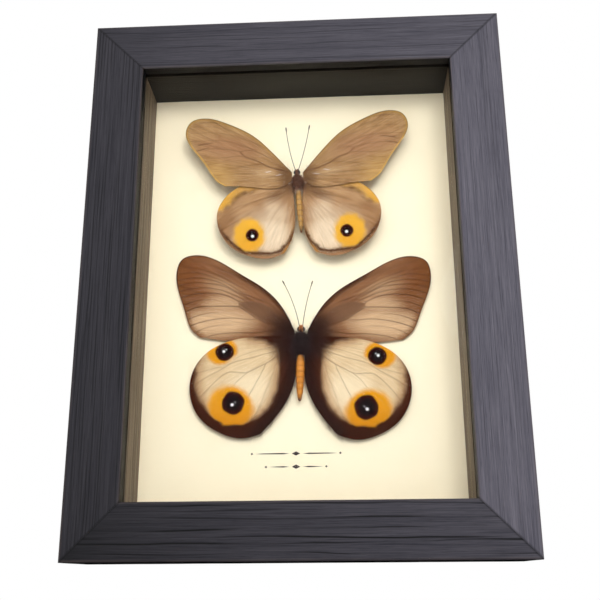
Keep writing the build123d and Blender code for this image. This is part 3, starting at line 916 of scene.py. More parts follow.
class CASE_OT_ornament(bpy.types.Operator):
    """Two printed rules with a lozenge, under the lower specimen"""

    bl_idname = "display_case.ornament"
    bl_label = "Printed ornament"

    def execute(self, context):
        ink = printed_ink("ornament_ink", context.scene.display_case.ink)
        shape = bmesh.new()
        front = paper_front - 0.03 * MM

        def print_shape(outline):
            lower = [shape.verts.new((x * MM, paper_front - 0.002 * MM, z * MM)) for x, z in outline]
            upper = [shape.verts.new((x * MM, front, z * MM)) for x, z in outline]
            shape.faces.new(lower)
            shape.faces.new(upper[::-1])
            for i in range(len(outline)):
                j = (i + 1) % len(outline)
                shape.faces.new((lower[i], upper[i], upper[j], lower[j]))

        def print_lozenge(x, z, wide, high):
            print_shape([(x + wide, z), (x, z + high), (x - wide, z), (x, z - high)])

        for z, half in RULES:
            print_lozenge(RULES_MIDDLE, z, 1.5, 0.75)
            for side in (-1, 1):
                rule = ((2.4, 0), (4.5, 0.25), (half - 3.0, 0.17), (half, 0), (half - 3.0, -0.17),
                        (4.5, -0.25))
                print_shape([(RULES_MIDDLE + side * x, z + rise) for x, rise in rule])
                print_lozenge(RULES_MIDDLE + side * (half + 1.1), z, 0.45, 0.45)
        made = from_bmesh("printed_ornament", shape, ink, sharp=30)
        settle(made)
        return {"FINISHED"}


# ---------------------------------------------------------------- fittings
def new_tree(name, result, **inputs):
    """A geometry node tree with its named inputs, and one output of geometry."""
    tree = bpy.data.node_groups.new(name, "GeometryNodeTree")
    for title, kind in inputs.items():
        tree.interface.new_socket(title, in_out="INPUT", socket_type=f"NodeSocket{kind}")
    tree.interface.new_socket(result, in_out="OUTPUT", socket_type="NodeSocketGeometry")
    return tree


def repeat_tree(name):
    """Geometry nodes that put a pattern piece on every point, each turned its own way."""
    tree = new_tree(
        name, "Pieces", Points="Geometry", Pattern="Object", Turn="Float", Seed="Int",
        Finish="Material",
    )
    nodes, links = tree.nodes, tree.links
    enter, leave = nodes.new("NodeGroupInput"), nodes.new("NodeGroupOutput")
    fetch = nodes.new("GeometryNodeObjectInfo")
    fetch.transform_space = "ORIGINAL"
    angle = nodes.new("FunctionNodeRandomValue")
    angle.data_type = "FLOAT"
    negative = nodes.new("ShaderNodeMath")
    negative.operation = "MULTIPLY"
    negative.inputs[1].default_value = -1
    turn = nodes.new("ShaderNodeCombineXYZ")
    put = nodes.new("GeometryNodeInstanceOnPoints")
    real = nodes.new("GeometryNodeRealizeInstances")
    coat = nodes.new("GeometryNodeSetMaterial")
    links.new(enter.outputs["Pattern"], fetch.inputs["Object"])
    links.new(enter.outputs["Turn"], negative.inputs[0])
    links.new(negative.outputs[0], angle.inputs[2])
    links.new(enter.outputs["Turn"], angle.inputs[3])
    links.new(enter.outputs["Seed"], angle.inputs["Seed"])
    links.new(angle.outputs[1], turn.inputs["Y"])
    links.new(enter.outputs["Points"], put.inputs["Points"])
    links.new(fetch.outputs["Geometry"], put.inputs["Instance"])
    links.new(turn.outputs["Vector"], put.inputs["Rotation"])
    links.new(put.outputs["Instances"], real.inputs["Geometry"])
    links.new(real.outputs["Geometry"], coat.inputs["Geometry"])
    links.new(enter.outputs["Finish"], coat.inputs["Material"])
    links.new(coat.outputs["Geometry"], leave.inputs["Pieces"])
    return tree


def run_tree(made, tree, **inputs):
    """Runs a tree on a piece with its inputs set, and keeps the result as its plain mesh."""
    step = made.modifiers.new(tree.name, "NODES")
    step.node_group = tree
    for item in tree.interface.items_tree:
        if item.item_type == "SOCKET" and item.in_out == "INPUT" and item.name in inputs:
            step[item.identifier] = inputs[item.name]
    flatten(made)
    made.data.materials.clear()
    made.data.materials.append(inputs["Finish"])
    return made


def one_of(node, centre, reach):
    """The solid of a CAD node that lies round a centre, moved there."""
    shape = merged_copy(node)
    far = [v for v in shape.verts if math.hypot(v.co.x - centre.x, v.co.z - centre.z) > reach]
    bmesh.ops.delete(shape, geom=far, context="VERTS")
    for v in shape.verts:
        v.co -= centre
    return shape


class CASE_OT_fittings(bpy.types.Operator):
    """Turn buttons, screws, hanger, nails, corner nails and wall bumpers"""

    bl_idname = "display_case.fittings"
    bl_label = "Back fittings"

    def execute(self, context):
        settings = context.scene.display_case
        brass = plated_metal("brassed_steel", settings.brass, shade(120, 92, 52))
        steel = plated_metal("zinc_steel", settings.steel, shade(112, 112, 114), 0.36)
        for button in BUTTONS:
            node = f"turn_button_{button}"
            shape = soften(merged_copy(node), 0.16 * MM, segments=3)
            made = from_bmesh(f"{node}_plate", shape, brass, sharp=30)
            settle(made, (node,), node)
        repeat = repeat_tree("Repeated fastener")
        centres = []
        for button in BUTTONS:
            low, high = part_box(f"turn_button_{button}")
            side = 1 if "right" in button else -1
            pivot = high.x - (high.z - low.z) / 2 if side > 0 else low.x + (high.z - low.z) / 2
            centres.append(Vector((pivot, high.y, (low.z + high.z) / 2)))
        self.fasteners(
            "turn_button_screws", centres, 3.2 * MM, 0.22 * MM, steel, repeat, 1.4, "zinc_steel",
        )
        low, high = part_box("hanger_nails")
        inset = 1.7 * MM
        nails = [Vector((x, high.y, (low.z + high.z) / 2)) for x in (low.x + inset, high.x - inset)]
        self.fasteners("hanger_nails", nails, 3 * MM, 0.18 * MM, steel, repeat, 3.0, "zinc_steel")
        hanger = soften(merged_copy("sawtooth_hanger"), 0.12 * MM, segments=2)
        made = from_bmesh("sawtooth_hanger_strip", hanger, brass, sharp=30)
        settle(made, ("sawtooth_hanger",))
        paint_node("corner_v_nails", steel)
        felt = felt_pad("felt", settings.felt)
        for node in ("wall_bumper_left", "wall_bumper_right"):
            settle(self.bumper(node, felt), (node,))
        return {"FINISHED"}

    def fasteners(self, node, centres, reach, edge, material, tree, turn, slot):
        pattern = soften(one_of(node, centres[0], reach), edge, over=50)
        pattern = from_bmesh(f"{node}_pattern", pattern, material, sharp=30)
        mesh = bpy.data.meshes.new(f"{node}_set")
        mesh.from_pydata([tuple(c) for c in centres], [], [])
        made = bpy.data.objects.new(f"{node}_set", mesh)
        bpy.context.scene.collection.objects.link(made)
        run_tree(made, tree, Pattern=pattern, Turn=turn, Seed=7, Finish=material)
        bpy.data.objects.remove(pattern)
        settle(made, (node,))

    def bumper(self, node, material):
        """A turned pad with a soft edge and a nap."""
        low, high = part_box(node)
        centre = Vector(((low.x + high.x) / 2, low.y, (low.z + high.z) / 2))
        radius, thick, soft = (high.x - low.x) / 2, high.y - low.y, 0.7 * MM
        profile = [(radius, 0.02 * MM), (radius, 0.5 * thick)]
        profile += [
            (radius - soft + soft * math.cos(a), thick - soft + soft * math.sin(a))
            for a in np.linspace(0, math.pi / 2, 6)
        ]
        profile += [(r, thick) for r in np.linspace(radius - soft, 0.25 * MM, 16)[1:]]
        count = 72
        chance = np.random.default_rng(len(node))
        points = []
        for i, (r, y) in enumerate(profile):
            for k in range(count):
                a = 2 * math.pi * k / count
                nap = chance.uniform(-0.06, 0.0) * MM
                rr = r + (nap if i < 8 else 0)
                yy = y + (nap if i >= 4 else 0)
                points.append(centre + Vector((rr * math.cos(a), yy, rr * math.sin(a))))
        made = piece(f"{node}_pad", points, tube_faces(len(profile), count), material, sharp=60)
        square_up(made)
        return made


# ---------------------------------------------------------------- wings
# Places on a wing are in hundredths of its length, outwards and up from its root.
LEADING = {
    "upper_forewing": [(0, 4), (15.5, 23), (32, 40), (53, 52), (73, 58), (85, 54), (89, 43),
                       (82, 27.5), (71, 11), (63, -1.5), (56, -6.5)],
    "upper_hindwing": [(0, 1), (28, 10), (58, 4), (78, -10), (89, -30), (87, -53), (75, -72.5),
                       (53, -86), (30, -90), (12.5, -84)],
    "lower_forewing": [(0, 3), (9, 19.5), (22.5, 33.5), (40, 44.5), (59, 55.5), (74, 59),
                       (84.5, 55), (87.5, 46), (85, 30.5), (79, 14.5), (73.5, 2), (67, -3.5)],
    "lower_hindwing": [(0, 3), (22.5, 3), (46, 1), (65, -4.5), (81, -15.5), (91, -34),
                       (91, -52.5), (82, -71), (64, -84), (42.5, -89), (27.5, -85)],
}
TRAILING = {
    "upper_forewing": [(56, -6.5), (39, -7.5), (21, -10), (8, -8.5), (0, -3.5)],
    "upper_hindwing": [(12.5, -84), (2, -64), (-2, -37.5), (-1, -11)],
    "lower_forewing": [(67, -3.5), (55, -5), (27.5, -6.5), (0, -4.5)],
    "lower_hindwing": [(27.5, -85), (13, -68), (1.5, -47.5), (-2.5, -30), (-1.5, -7.5)],
}
# Length, rise of the root over the thorax's middle, and height before the paper, millimetres.
WING_PLACES = {
    "upper_forewing": (45.5, 2.3, 5.6),
    "upper_hindwing": (32.3, -1.2, 4.9),
    "lower_forewing": (51.6, 4.1, 1.6),
    "lower_hindwing": (40.6, 1.9, 2.3),
}
# Specimen: thorax middle across and up, root offset, dihedral, body lean, thorax radius and
# length, abdomen radius and length, height of the body's axis before the paper.
SPECIMENS = {
    "upper": (-0.4, 138.8, 2.1, 3.0, 3.6, (2.4, 6.8), (1.2, 17.6), 5.2),
    "lower": (0.3, 75.8, 2.5, -0.6, -1.5, (2.9, 9.2), (1.55, 16.9), 3.3),
}
# Radius and length of the heads.
HEADS = {"upper": (1.25, 2.3), "lower": (1.4, 2.6)}
# Turns of the wings about their roots, in degrees, tip upwards.
SPREAD = {
    "upper_left_forewing": -2.1, "upper_right_forewing": -0.3,
    "upper_left_hindwing": -2.2, "upper_right_hindwing": 1.2,
    "lower_left_forewing": 2.1, "lower_right_forewing": -1.6,
    "lower_left_hindwing": 1.5, "lower_right_hindwing": -1.8,
}
# Veins and folds: their points, how dark they are at their start and end, and their width in mm.
VEINS = {
    "upper_forewing": [
        ([(1, 4.5), (12, 7.5), (22, 11.5), (31, 17), (40, 21), (43, 25)], 0.95, 0.75, 0.42),
        ([(3, 9), (15, 17), (26, 23), (34, 26), (43, 25)], 0.35, 0.5, 0.3),
        ([(43, 25), (53, 27.5), (62, 28.5), (71, 28.5), (82, 28)], 0.5, 0.35, 0.32),
        ([(40, 21), (48, 20.8), (57, 20), (68, 20), (78, 21)], 0.45, 0.3, 0.3),
        ([(26, 13), (35, 12), (48, 10), (60, 9), (71, 11)], 0.55, 0.25, 0.3),
        ([(8, 3), (21, 0), (30, -1), (42, -1.5), (56, -1)], 0.45, 0.15, 0.4),
        ([(21, 27), (31, 33), (42, 38), (54, 42), (68, 44), (85, 44)], 0.5, 0.3, 0.28),
        ([(29, 26), (40, 30), (49, 34), (58, 36), (70, 36.5), (86, 36)], 0.5, 0.35, 0.3),
        ([(15, 18), (26, 29), (38, 38), (52, 46), (66, 49.5), (82, 50)], 0.35, 0.35, 0.26),
        ([(1, 5), (9, 17.5), (22, 31), (37, 43.5), (49, 49.5), (63, 53.5), (77, 53.5)], 0.6, 0.5, 0.35),
        ([(66, 34.5), (78, 32.5)], 0.5, 0.8, 0.5),
        ([(70, 29.5), (80, 27)], 0.5, 0.7, 0.5),
        ([(56, 16), (69, 14.5)], 0.3, 0.55, 0.4),
        ([(2, -1), (10, -2.5), (19, -3.5), (32, -3.5)], 0.6, 0.2, 0.3),
        ([(2, -5), (10, -8), (18, -8.5), (30, -6)], 0.6, 0.25, 0.35),
        ([(4, 1.5), (14, 1), (24, 3), (36, 6)], 0.35, 0.1, 0.3),
    ],
    "upper_hindwing": [
        ([(2, -3), (20, -2), (40, -2.5), (60, -9)], 0.5, 0.1, 0.5),
        ([(3, -5), (22, -12), (42, -17), (64, -27), (84, -42)], 0.55, 0.2, 0.45),
        ([(3, -7), (20, -18), (38, -28), (52, -40)], 0.5, 0.1, 0.4),
        ([(3, -9), (15, -25), (26, -42), (34, -58)], 0.35, 0.05, 0.35),
        ([(60, -20), (74, -30), (85, -38)], 0.2, 0.3, 0.5),
        ([(64, -34), (76, -44), (84, -52)], 0.15, 0.3, 0.5),
        ([(2, -12), (7, -32), (11, -52), (18, -72)], 0.3, 0.15, 0.3),
    ],
    "lower_forewing": [
        ([(2, 2), (7, 10), (12, 16), (17, 21), (24, 24.5), (32, 25.5), (37, 25.3), (41, 24)],
         0.6, 0.55, 0.26),
        ([(41, 24), (40, 21.5), (40, 20)], 0.75, 0.75, 0.26),
        ([(2, 1), (9, 4), (14, 6), (20, 8), (26, 10.5), (33, 15), (40, 20)], 0.6, 0.8, 0.28),
        ([(23, 25), (33, 28), (41, 32), (49, 37), (58, 41), (66, 44), (76, 45.5), (86, 44)],
         0.5, 0.6, 0.28),
        ([(27, 26), (34, 28), (45, 32.5), (55, 38), (62, 40), (73, 41.5), (86, 39.5)], 0.55, 0.7, 0.28),
        ([(33, 26), (42, 30), (49, 34), (57, 36.5), (66, 37.5), (76, 37.5), (86, 35)], 0.5, 0.7, 0.28),
        ([(37, 25.3), (45, 29), (50, 31), (57, 33), (65, 34), (77, 33), (85, 30.5)], 0.5, 0.75, 0.28),
        ([(41, 24), (48, 27.5), (55, 29.5), (64, 30), (74, 29), (83.5, 26)], 0.6, 0.85, 0.3),
        ([(52, 24), (65, 25), (74, 23.5), (81.5, 20)], 0.1, 0.8, 0.3),
        ([(40, 20), (51, 20.3), (61, 20), (71, 19), (79, 15.5)], 0.65, 0.85, 0.3),
        ([(50, 15), (60, 15), (68, 13.5), (77, 10)], 0.1, 0.75, 0.3),
        ([(26, 10.5), (33, 10.5), (43, 11.3), (57, 10.3), (67, 8), (75, 5)], 0.4, 0.8, 0.3),
        ([(44, 6.5), (56, 5.5), (64, 3.5), (71, 0)], 0.15, 0.55, 0.3),
        ([(13, 3), (30, 0.5), (36, 0.5), (49, 0), (59, -2), (65, -4.5)], 0.55, 0.6, 0.28),
        ([(34, 32), (45, 37.5), (55, 43), (63, 46), (73, 48.5), (85, 50)], 0.45, 0.4, 0.28),
        ([(12, 20), (26, 32), (40, 41), (52, 47), (64, 52), (78, 55.5)], 0.5, 0.3, 0.3),
    ],
    "lower_hindwing": [
        ([(9, -4), (19, -4.5), (30, -4), (39, -3.5), (52, -4.5)], 0.35, 0.15, 0.24),
        ([(10, -7), (23, -8), (35, -11), (43, -13.5), (54, -19)], 0.4, 0.25, 0.24),
        ([(10, -10), (20, -12), (34, -16), (46, -19), (55, -22), (63, -27), (74, -33), (86, -41)],
         0.55, 0.5, 0.24),
        ([(62, -26.5), (66, -26), (74, -28), (87, -31)], 0.35, 0.45, 0.24),
        ([(10, -12), (18, -18), (26, -23), (34, -27), (40, -30), (50, -30.5), (58, -30.5),
          (66, -36), (74, -44), (83, -55)], 0.7, 0.45, 0.25),
        ([(40, -30), (45, -34), (50, -39), (53, -44)], 0.5, 0.35, 0.24),
        ([(25, -23), (27, -28), (30, -34), (35, -44), (39, -52), (41, -60)], 0.55, 0.4, 0.24),
        ([(14, -17), (18, -31), (23, -44), (28, -58), (33, -70)], 0.3, 0.25, 0.28),
        ([(12, -15), (15, -28), (18, -42)], 0.25, 0.1, 0.3),
    ],
}


def through(points, spacing):
    """Evenly spaced points on the smooth curve through some points."""
    p = np.array(points, float)
    if len(p) < 3:
        steps = max(2, int(np.linalg.norm(p[-1] - p[0]) / spacing))
        return p[0] + (p[-1] - p[0]) * np.linspace(0, 1, steps + 1)[:, None]
    chord = np.concatenate([[0], np.cumsum(np.linalg.norm(np.diff(p, axis=0), axis=1))])
    n, h = len(p), np.diff(chord)
    rows, sums = np.eye(n), np.zeros((n, 2))
    for i in range(1, n - 1):
        rows[i, i - 1], rows[i, i], rows[i, i + 1] = h[i - 1], 2 * (h[i - 1] + h[i]), h[i]
        sums[i] = 6 * ((p[i + 1] - p[i]) / h[i] - (p[i] - p[i - 1]) / h[i - 1])
    bend = np.linalg.solve(rows, sums)
    t = np.linspace(0, chord[-1], max(3, int(chord[-1] / spacing) + 1))
    i = np.clip(np.searchsorted(chord, t, side="right") - 1, 0, n - 2)
    a, b = (chord[i + 1] - t)[:, None], (t - chord[i])[:, None]
    w = h[i][:, None]
    return (
        (bend[i] * a**3 + bend[i + 1] * b**3) / (6 * w)
        + (p[i] / w - bend[i] * w / 6) * a
        + (p[i + 1] / w - bend[i + 1] * w / 6) * b
    )


def line_distance(points, line):
    """Distance of points from a run of straight pieces, and how far along it, from 0 to 1."""
    best = np.full(len(points), 1e9)
    share = np.zeros(len(points))
    hops = np.linalg.norm(np.diff(line, axis=0), axis=1)
    gone = np.concatenate([[0], np.cumsum(hops)])
    for i in range(len(line) - 1):
        a, d = line[i], line[i + 1] - line[i]
        if hops[i] < 1e-9:
            continue
        t = np.clip(((points - a) @ d) / hops[i] ** 2, 0, 1)
        away = np.linalg.norm(points - a - t[:, None] * d, axis=1)
        near = away < best
        best = np.where(near, away, best)
        share = np.where(near, (gone[i] + t * hops[i]) / gone[-1], share)
    return best, share


def inside(points, ring):
    """True for points within a closed ring."""
    x, y = points[:, 0], points[:, 1]
    result = np.zeros(len(points), bool)
    for a, b in zip(ring, np.roll(ring, -1, axis=0)):
        crosses = (a[1] > y) != (b[1] > y)
        rise = b[1] - a[1]
        if rise:
            result ^= crosses & (x < a[0] + (y - a[1]) / rise * (b[0] - a[0]))
    return result


def within(points, ring):
    """Distance inside a closed ring, negative outside it."""
    away, _ = line_distance(points, np.vstack([ring, ring[:1]]))
    return np.where(inside(points, ring), away, -away)


def blob(points, centre, wide, high, turn=0.0):
    """0 at the middle of an ellipse, 1 on its edge."""
    c, s = math.cos(math.radians(turn)), math.sin(math.radians(turn))
    d = points - np.array(centre)
    return np.hypot((d[:, 0] * c + d[:, 1] * s) / wide, (-d[:, 0] * s + d[:, 1] * c) / high)


def fade(values, start, end):
    """1 up to the start, 0 past the end."""
    return 1 - eased(values, start, end)


def more(marks, key, values):
    """Raises a mark to some values where they are higher."""
    marks[key] = np.maximum(marks[key], values)


def eyespot(marks, points, centre, radius, pupil, pupil_radius, squash=1.0, jag=0.0, seed=1):
    """A dark round spot with a maroon rim and a pale pupil."""
    d = points - np.array(centre)
    angle = np.arctan2(d[:, 1], d[:, 0])
    wave = 1 + jag * (np.sin(4 * angle + seed) * 0.5 + np.sin(7 * angle + 2 * seed) * 0.3)
    r = np.hypot(d[:, 0], d[:, 1] / squash) / (radius * wave)
    more(marks, "rim", fade(r, 0.96, 1.10))
    more(marks, "spot", fade(r, 0.62, 0.90))
    p = np.hypot(points[:, 0] - pupil[0], points[:, 1] - pupil[1]) / pupil_radius
    more(marks, "pupil", fade(p, 0.75, 1.4))


def paint_upper_forewing(marks, p, edge, side):
    root = np.hypot(p[:, 0], p[:, 1])
    far = root / 90
    marks["warm"] = 0.6 * fade(blob(p, (52, 28), 36, 14, 8), 0.3, 1.2)
    marks["pale"] = 0.35 * fade(blob(p, (22, 4), 20, 6, 10), 0.2, 1.0)
    corner = fade(blob(p, (62, 3), 26, 17, 40), 0.1, 1.1)
    marks["gold"] = np.maximum(0.28 * corner, 0.95 * fade(edge["outer"], 0.5, 1.6) * eased(far, 0.35, 0.6))
    marks["amber"] = 0.55 * fade(edge["leading"], 1.0, 3.6) * eased(far, 0.1, 0.4)
    marks["dark"] = np.maximum(0.75 * fade(edge["leading"], 0.2, 1.2), 0.7 * fade(root, 2, 18))
    # Painted highlights: two pale streaks near the root stand for a silvery glint of light on the scales.
    for centre in ((20, 5.5), (11, 2.2)):
        more(marks, "pupil", 0.55 * fade(blob(p, centre, 4.4, 0.5, -10), 0.1, 1.0))
    marks["fur"] = 0.9 * fade(root, 5, 15)


def paint_upper_hindwing(marks, p, edge, side):
    root = np.hypot(p[:, 0], p[:, 1])
    angle = np.degrees(np.arctan2(-p[:, 1], p[:, 0]))
    pale = fade(blob(p, (26, -62), 24, 28, 8), 0.4, 1.25)
    pale = np.maximum(0.95 * pale, 0.6 * fade(blob(p, (22, -38), 20, 32, 10), 0.3, 1.15))
    halo = fade(blob(p, (48, -50), 31, 31), 0.6, 1.15) * 0.6
    marks["pale"] = np.maximum(pale * eased(root, 10, 40), halo * eased(angle, 20, 60))
    marks["warm"] = 0.65 * fade(blob(p, (80, -46), 20, 28, 10), 0.3, 1.1)
    patch = np.array([(40, -3.5), (45, 12), (70, 6), (92, -12), (92, -30), (84, -27), (75, -21),
                      (68, -13), (56, -6.5)], float)
    gold = eased(within(p, patch) + 1.6 * ripple(p[:, 0], p[:, 1], 3, 5), -3.4, 4.0)
    gold *= 0.35 + 0.38 * eased(p[:, 0], 55, 84)
    disc = blob(p, (52.5, -60.5), 19, 22.5)
    gold = np.maximum(gold, fade(disc + 0.07 * ripple(p[:, 0], p[:, 1], 3, 6), 0.76, 1.12))
    marks["gold"] = gold
    marks["amber"] = 0.6 * fade(disc, 0.5, 1.0) * eased(-p[:, 1], 56, 80)
    body = np.array([(-4, 2), (40, 14), (92, 0), (93, -33), (85.5, -54), (73, -69.5), (58.5, -82),
                     (43, -83), (30, -84.5), (17, -81.5), (6, -70), (-6, -40)], float)
    teeth = 1.6 * np.abs(ripple(p[:, 0], p[:, 1], 2.4, 9))
    out = -within(p, body) + teeth
    marks["dark"] = np.exp(-((out - 0.4) / 2.3) ** 2) * eased(-p[:, 1], 30, 66)
    more(marks, "dark", 0.55 * fade(edge["leading"], 0.0, 0.8))
    more(marks, "warm", 0.8 * eased(out, 1.2, 3.5) * eased(-p[:, 1], 20, 50))
    marks["gold"] *= 1 - eased(out, -0.6, 1.2) * eased(-p[:, 1], 30, 60)
    band, share = line_distance(p, through([(46, -3), (60, -8.5), (70, -17), (82, -31)], 1.0))
    cloud = np.clip(0.42 + 0.5 * ripple(p[:, 0], p[:, 1], 4.5, 11), 0, 1)
    more(marks, "dark", cloud * fade(band, 0.4, 6.0) * (1 - 0.5 * share))
    more(marks, "dark", 0.55 * fade(blob(p, (16, -9), 26, 9, -30), 0.2, 1.2))
    more(marks, "dark", 0.5 * fade(root, 4, 26))
    inner = fade(edge["trailing"], 0.5, 5.0) * eased(-p[:, 1], 46, 66)
    more(marks, "amber", 0.5 * inner)
    eyespot(marks, p, (49, -60.3), 7.4, (48.6, -61.6), 1.5, 1.04, 0.03, 2)
    marks["fur"] = np.maximum(0.8 * fade(root, 4, 14), 0.75 * fade(edge["trailing"], 0.0, 4.5))


def paint_lower_forewing(marks, p, edge, side):
    root = np.hypot(p[:, 0], p[:, 1])
    far = root / 90
    rear = fade(blob(p, (56, 8), 36, 14, -4), 0.35, 1.1)
    marks["pale"] = np.maximum(0.95 * rear, 0.7 * fade(blob(p, (52, 22), 20, 9, 0), 0.3, 1.1))
    more(marks, "pale", 0.5 * fade(blob(p, (56, 35), 28, 10, 22), 0.2, 1.0))
    marks["warm"] = 0.9 * fade(blob(p, (84, 46), 32, 22, 40), 0.25, 1.2)
    rim = fade(edge["outer"], 0.4, 5.5)
    more(marks, "warm", 0.75 * rim)
    cell = np.array([(3, 2), (9, 11), (17, 20), (25, 23.6), (33, 24.6), (40.4, 23.4), (39.4, 20.4),
                     (32, 14.5), (25, 10.2), (14, 6.5)], float)
    marks["amber"] = 0.85 * eased(within(p, cell), -0.4, 0.9)
    marks["dark"] = 0.92 * fade(edge["leading"], 0.8, 4.6) * fade(far, 0.60, 0.85)
    more(marks, "dark", 0.8 * fade(edge["leading"], 0.2, 1.4))
    more(marks, "dark", 0.9 * fade(root, 8, 32))
    more(marks, "dark", 0.5 * fade(edge["outer"], 0.1, 1.1))
    marks["deep"] = 0.85 * fade(root, 3, 19)
    marks["fur"] = fade(root, 6, 20)


def paint_lower_hindwing(marks, p, edge, side):
    root = np.hypot(p[:, 0], p[:, 1])
    field = np.array([(13, -20), (12.5, -34), (15.5, -50), (21, -63), (30, -70.5), (43, -75),
                      (60, -76), (75, -64.5), (84.5, -53), (87, -38), (87, -26), (84, -14),
                      (66, 3), (46, 7), (42, 1.5), (27, -1.5), (17, -5), (13, -10)], float)
    rough = 0.6 * ripple(p[:, 0], p[:, 1], 2.6, 3) + 0.8 * ripple(p[:, 0], p[:, 1], 6, 4)
    out = -within(p, field) + rough
    inner = fade(edge["trailing"], 4.0, 15.0)
    soft = eased(out, -3.8 - 4.5 * inner, 2.8)
    marks["warm"] = 0.75 * eased(out, -12.0, 1.0)
    marks["dark"] = soft
    marks["deep"] = np.maximum(0.9 * inner * eased(out, -3.0, 4.0), 0.95 * fade(root, 9, 30))
    more(marks, "deep", 0.3 * eased(out, 1.0, 6.0) * eased(-p[:, 1], 52, 74))
    streak, share = line_distance(p, through([(2, 1), (16, 3.2), (30, 4.0), (46, 3.0)], 1.0))
    costa = fade(streak, 0.5, 4.6 - 2.8 * share) * fade(share, 0.45, 1.0)
    more(marks, "deep", 0.7 * costa)
    marks["pale"] = 0.7 * fade(blob(p, (38, -46), 26, 24), 0.3, 1.1)
    # The patches and spots of the right wing sit a little lower.
    patch_drop, spot_drop = (2.0, 2.6) if side > 0 else (0.0, 0.0)
    low = fade(blob(p, (54.5, -61.5 - patch_drop), 21.5, 19.5, 28) + 0.04 * rough, 0.78, 1.12)
    top = fade(blob(p, (64.5, -11.5 - patch_drop), 14.5, 12.0, -18) + 0.04 * rough, 0.80, 1.12)
    top *= np.clip(1.15 - 0.9 * fade(blob(p, (54, -20 - patch_drop), 9, 8), 0.3, 1.1), 0, 1)
    marks["gold"] = np.maximum(low, top)
    marks["amber"] = np.maximum(0.6 * low * eased(-p[:, 1], 52, 76), 0.25 * top)
    marks["dark"] *= 1 - low * 0.9 * fade(out, 0.0, 3.0)
    marks["warm"] *= 1 - np.maximum(low, top)
    grow = 1.06 if side > 0 else 1.0
    eyespot(marks, p, (62, -12 - spot_drop), 8.1, (62.8, -11.4 - spot_drop), 1.1, 0.98, 0.03, 1)
    eyespot(
        marks, p, (52.5, -58 - spot_drop), 9.7 * grow, (53.2, -59.6 - spot_drop), 1.25, 1.04, 0.05, 3
    )
    # Painted highlights: a small pale glint at the upper left of each eyespot.
    for glint in ((60.6, -9.6 - spot_drop), (50.6, -57.2 - spot_drop)):
        more(marks, "pupil", 0.7 * fade(blob(p, glint, 0.9, 0.6, 50), 0.3, 1.2))
    marks["fur"] = np.maximum(1.0 * fade(root, 10, 24), 0.5 * inner * soft)


PAINTERS = {
    "upper_forewing": paint_upper_forewing,
    "upper_hindwing": paint_upper_hindwing,
    "lower_forewing": paint_lower_forewing,
    "lower_hindwing": paint_lower_hindwing,
}


def wing_plane(name):
    """Origin, across, up and normal of a wing's plane, in metres."""
    side = -1 if "left" in name else 1
    specimen, kind = name.split("_")[0], f"{name.split('_')[0]}_{name.split('_')[2]}"
    x, z, offset, dihedral, *_ = SPECIMENS[specimen]
    length, rise, height = WING_PLACES[kind]
    turn, tilt = math.radians(side * SPREAD[name]), math.radians(-side * dihedral)
    across = Vector((math.cos(turn) * math.cos(tilt), math.cos(turn) * math.sin(tilt), math.sin(turn)))
    normal = Vector((math.sin(tilt), -math.cos(tilt), 0))
    origin = Vector(((x + side * offset) * MM, paper_front - height * MM, (z + rise) * MM))
    return origin, across, normal.cross(across), normal, side, specimen, kind, length


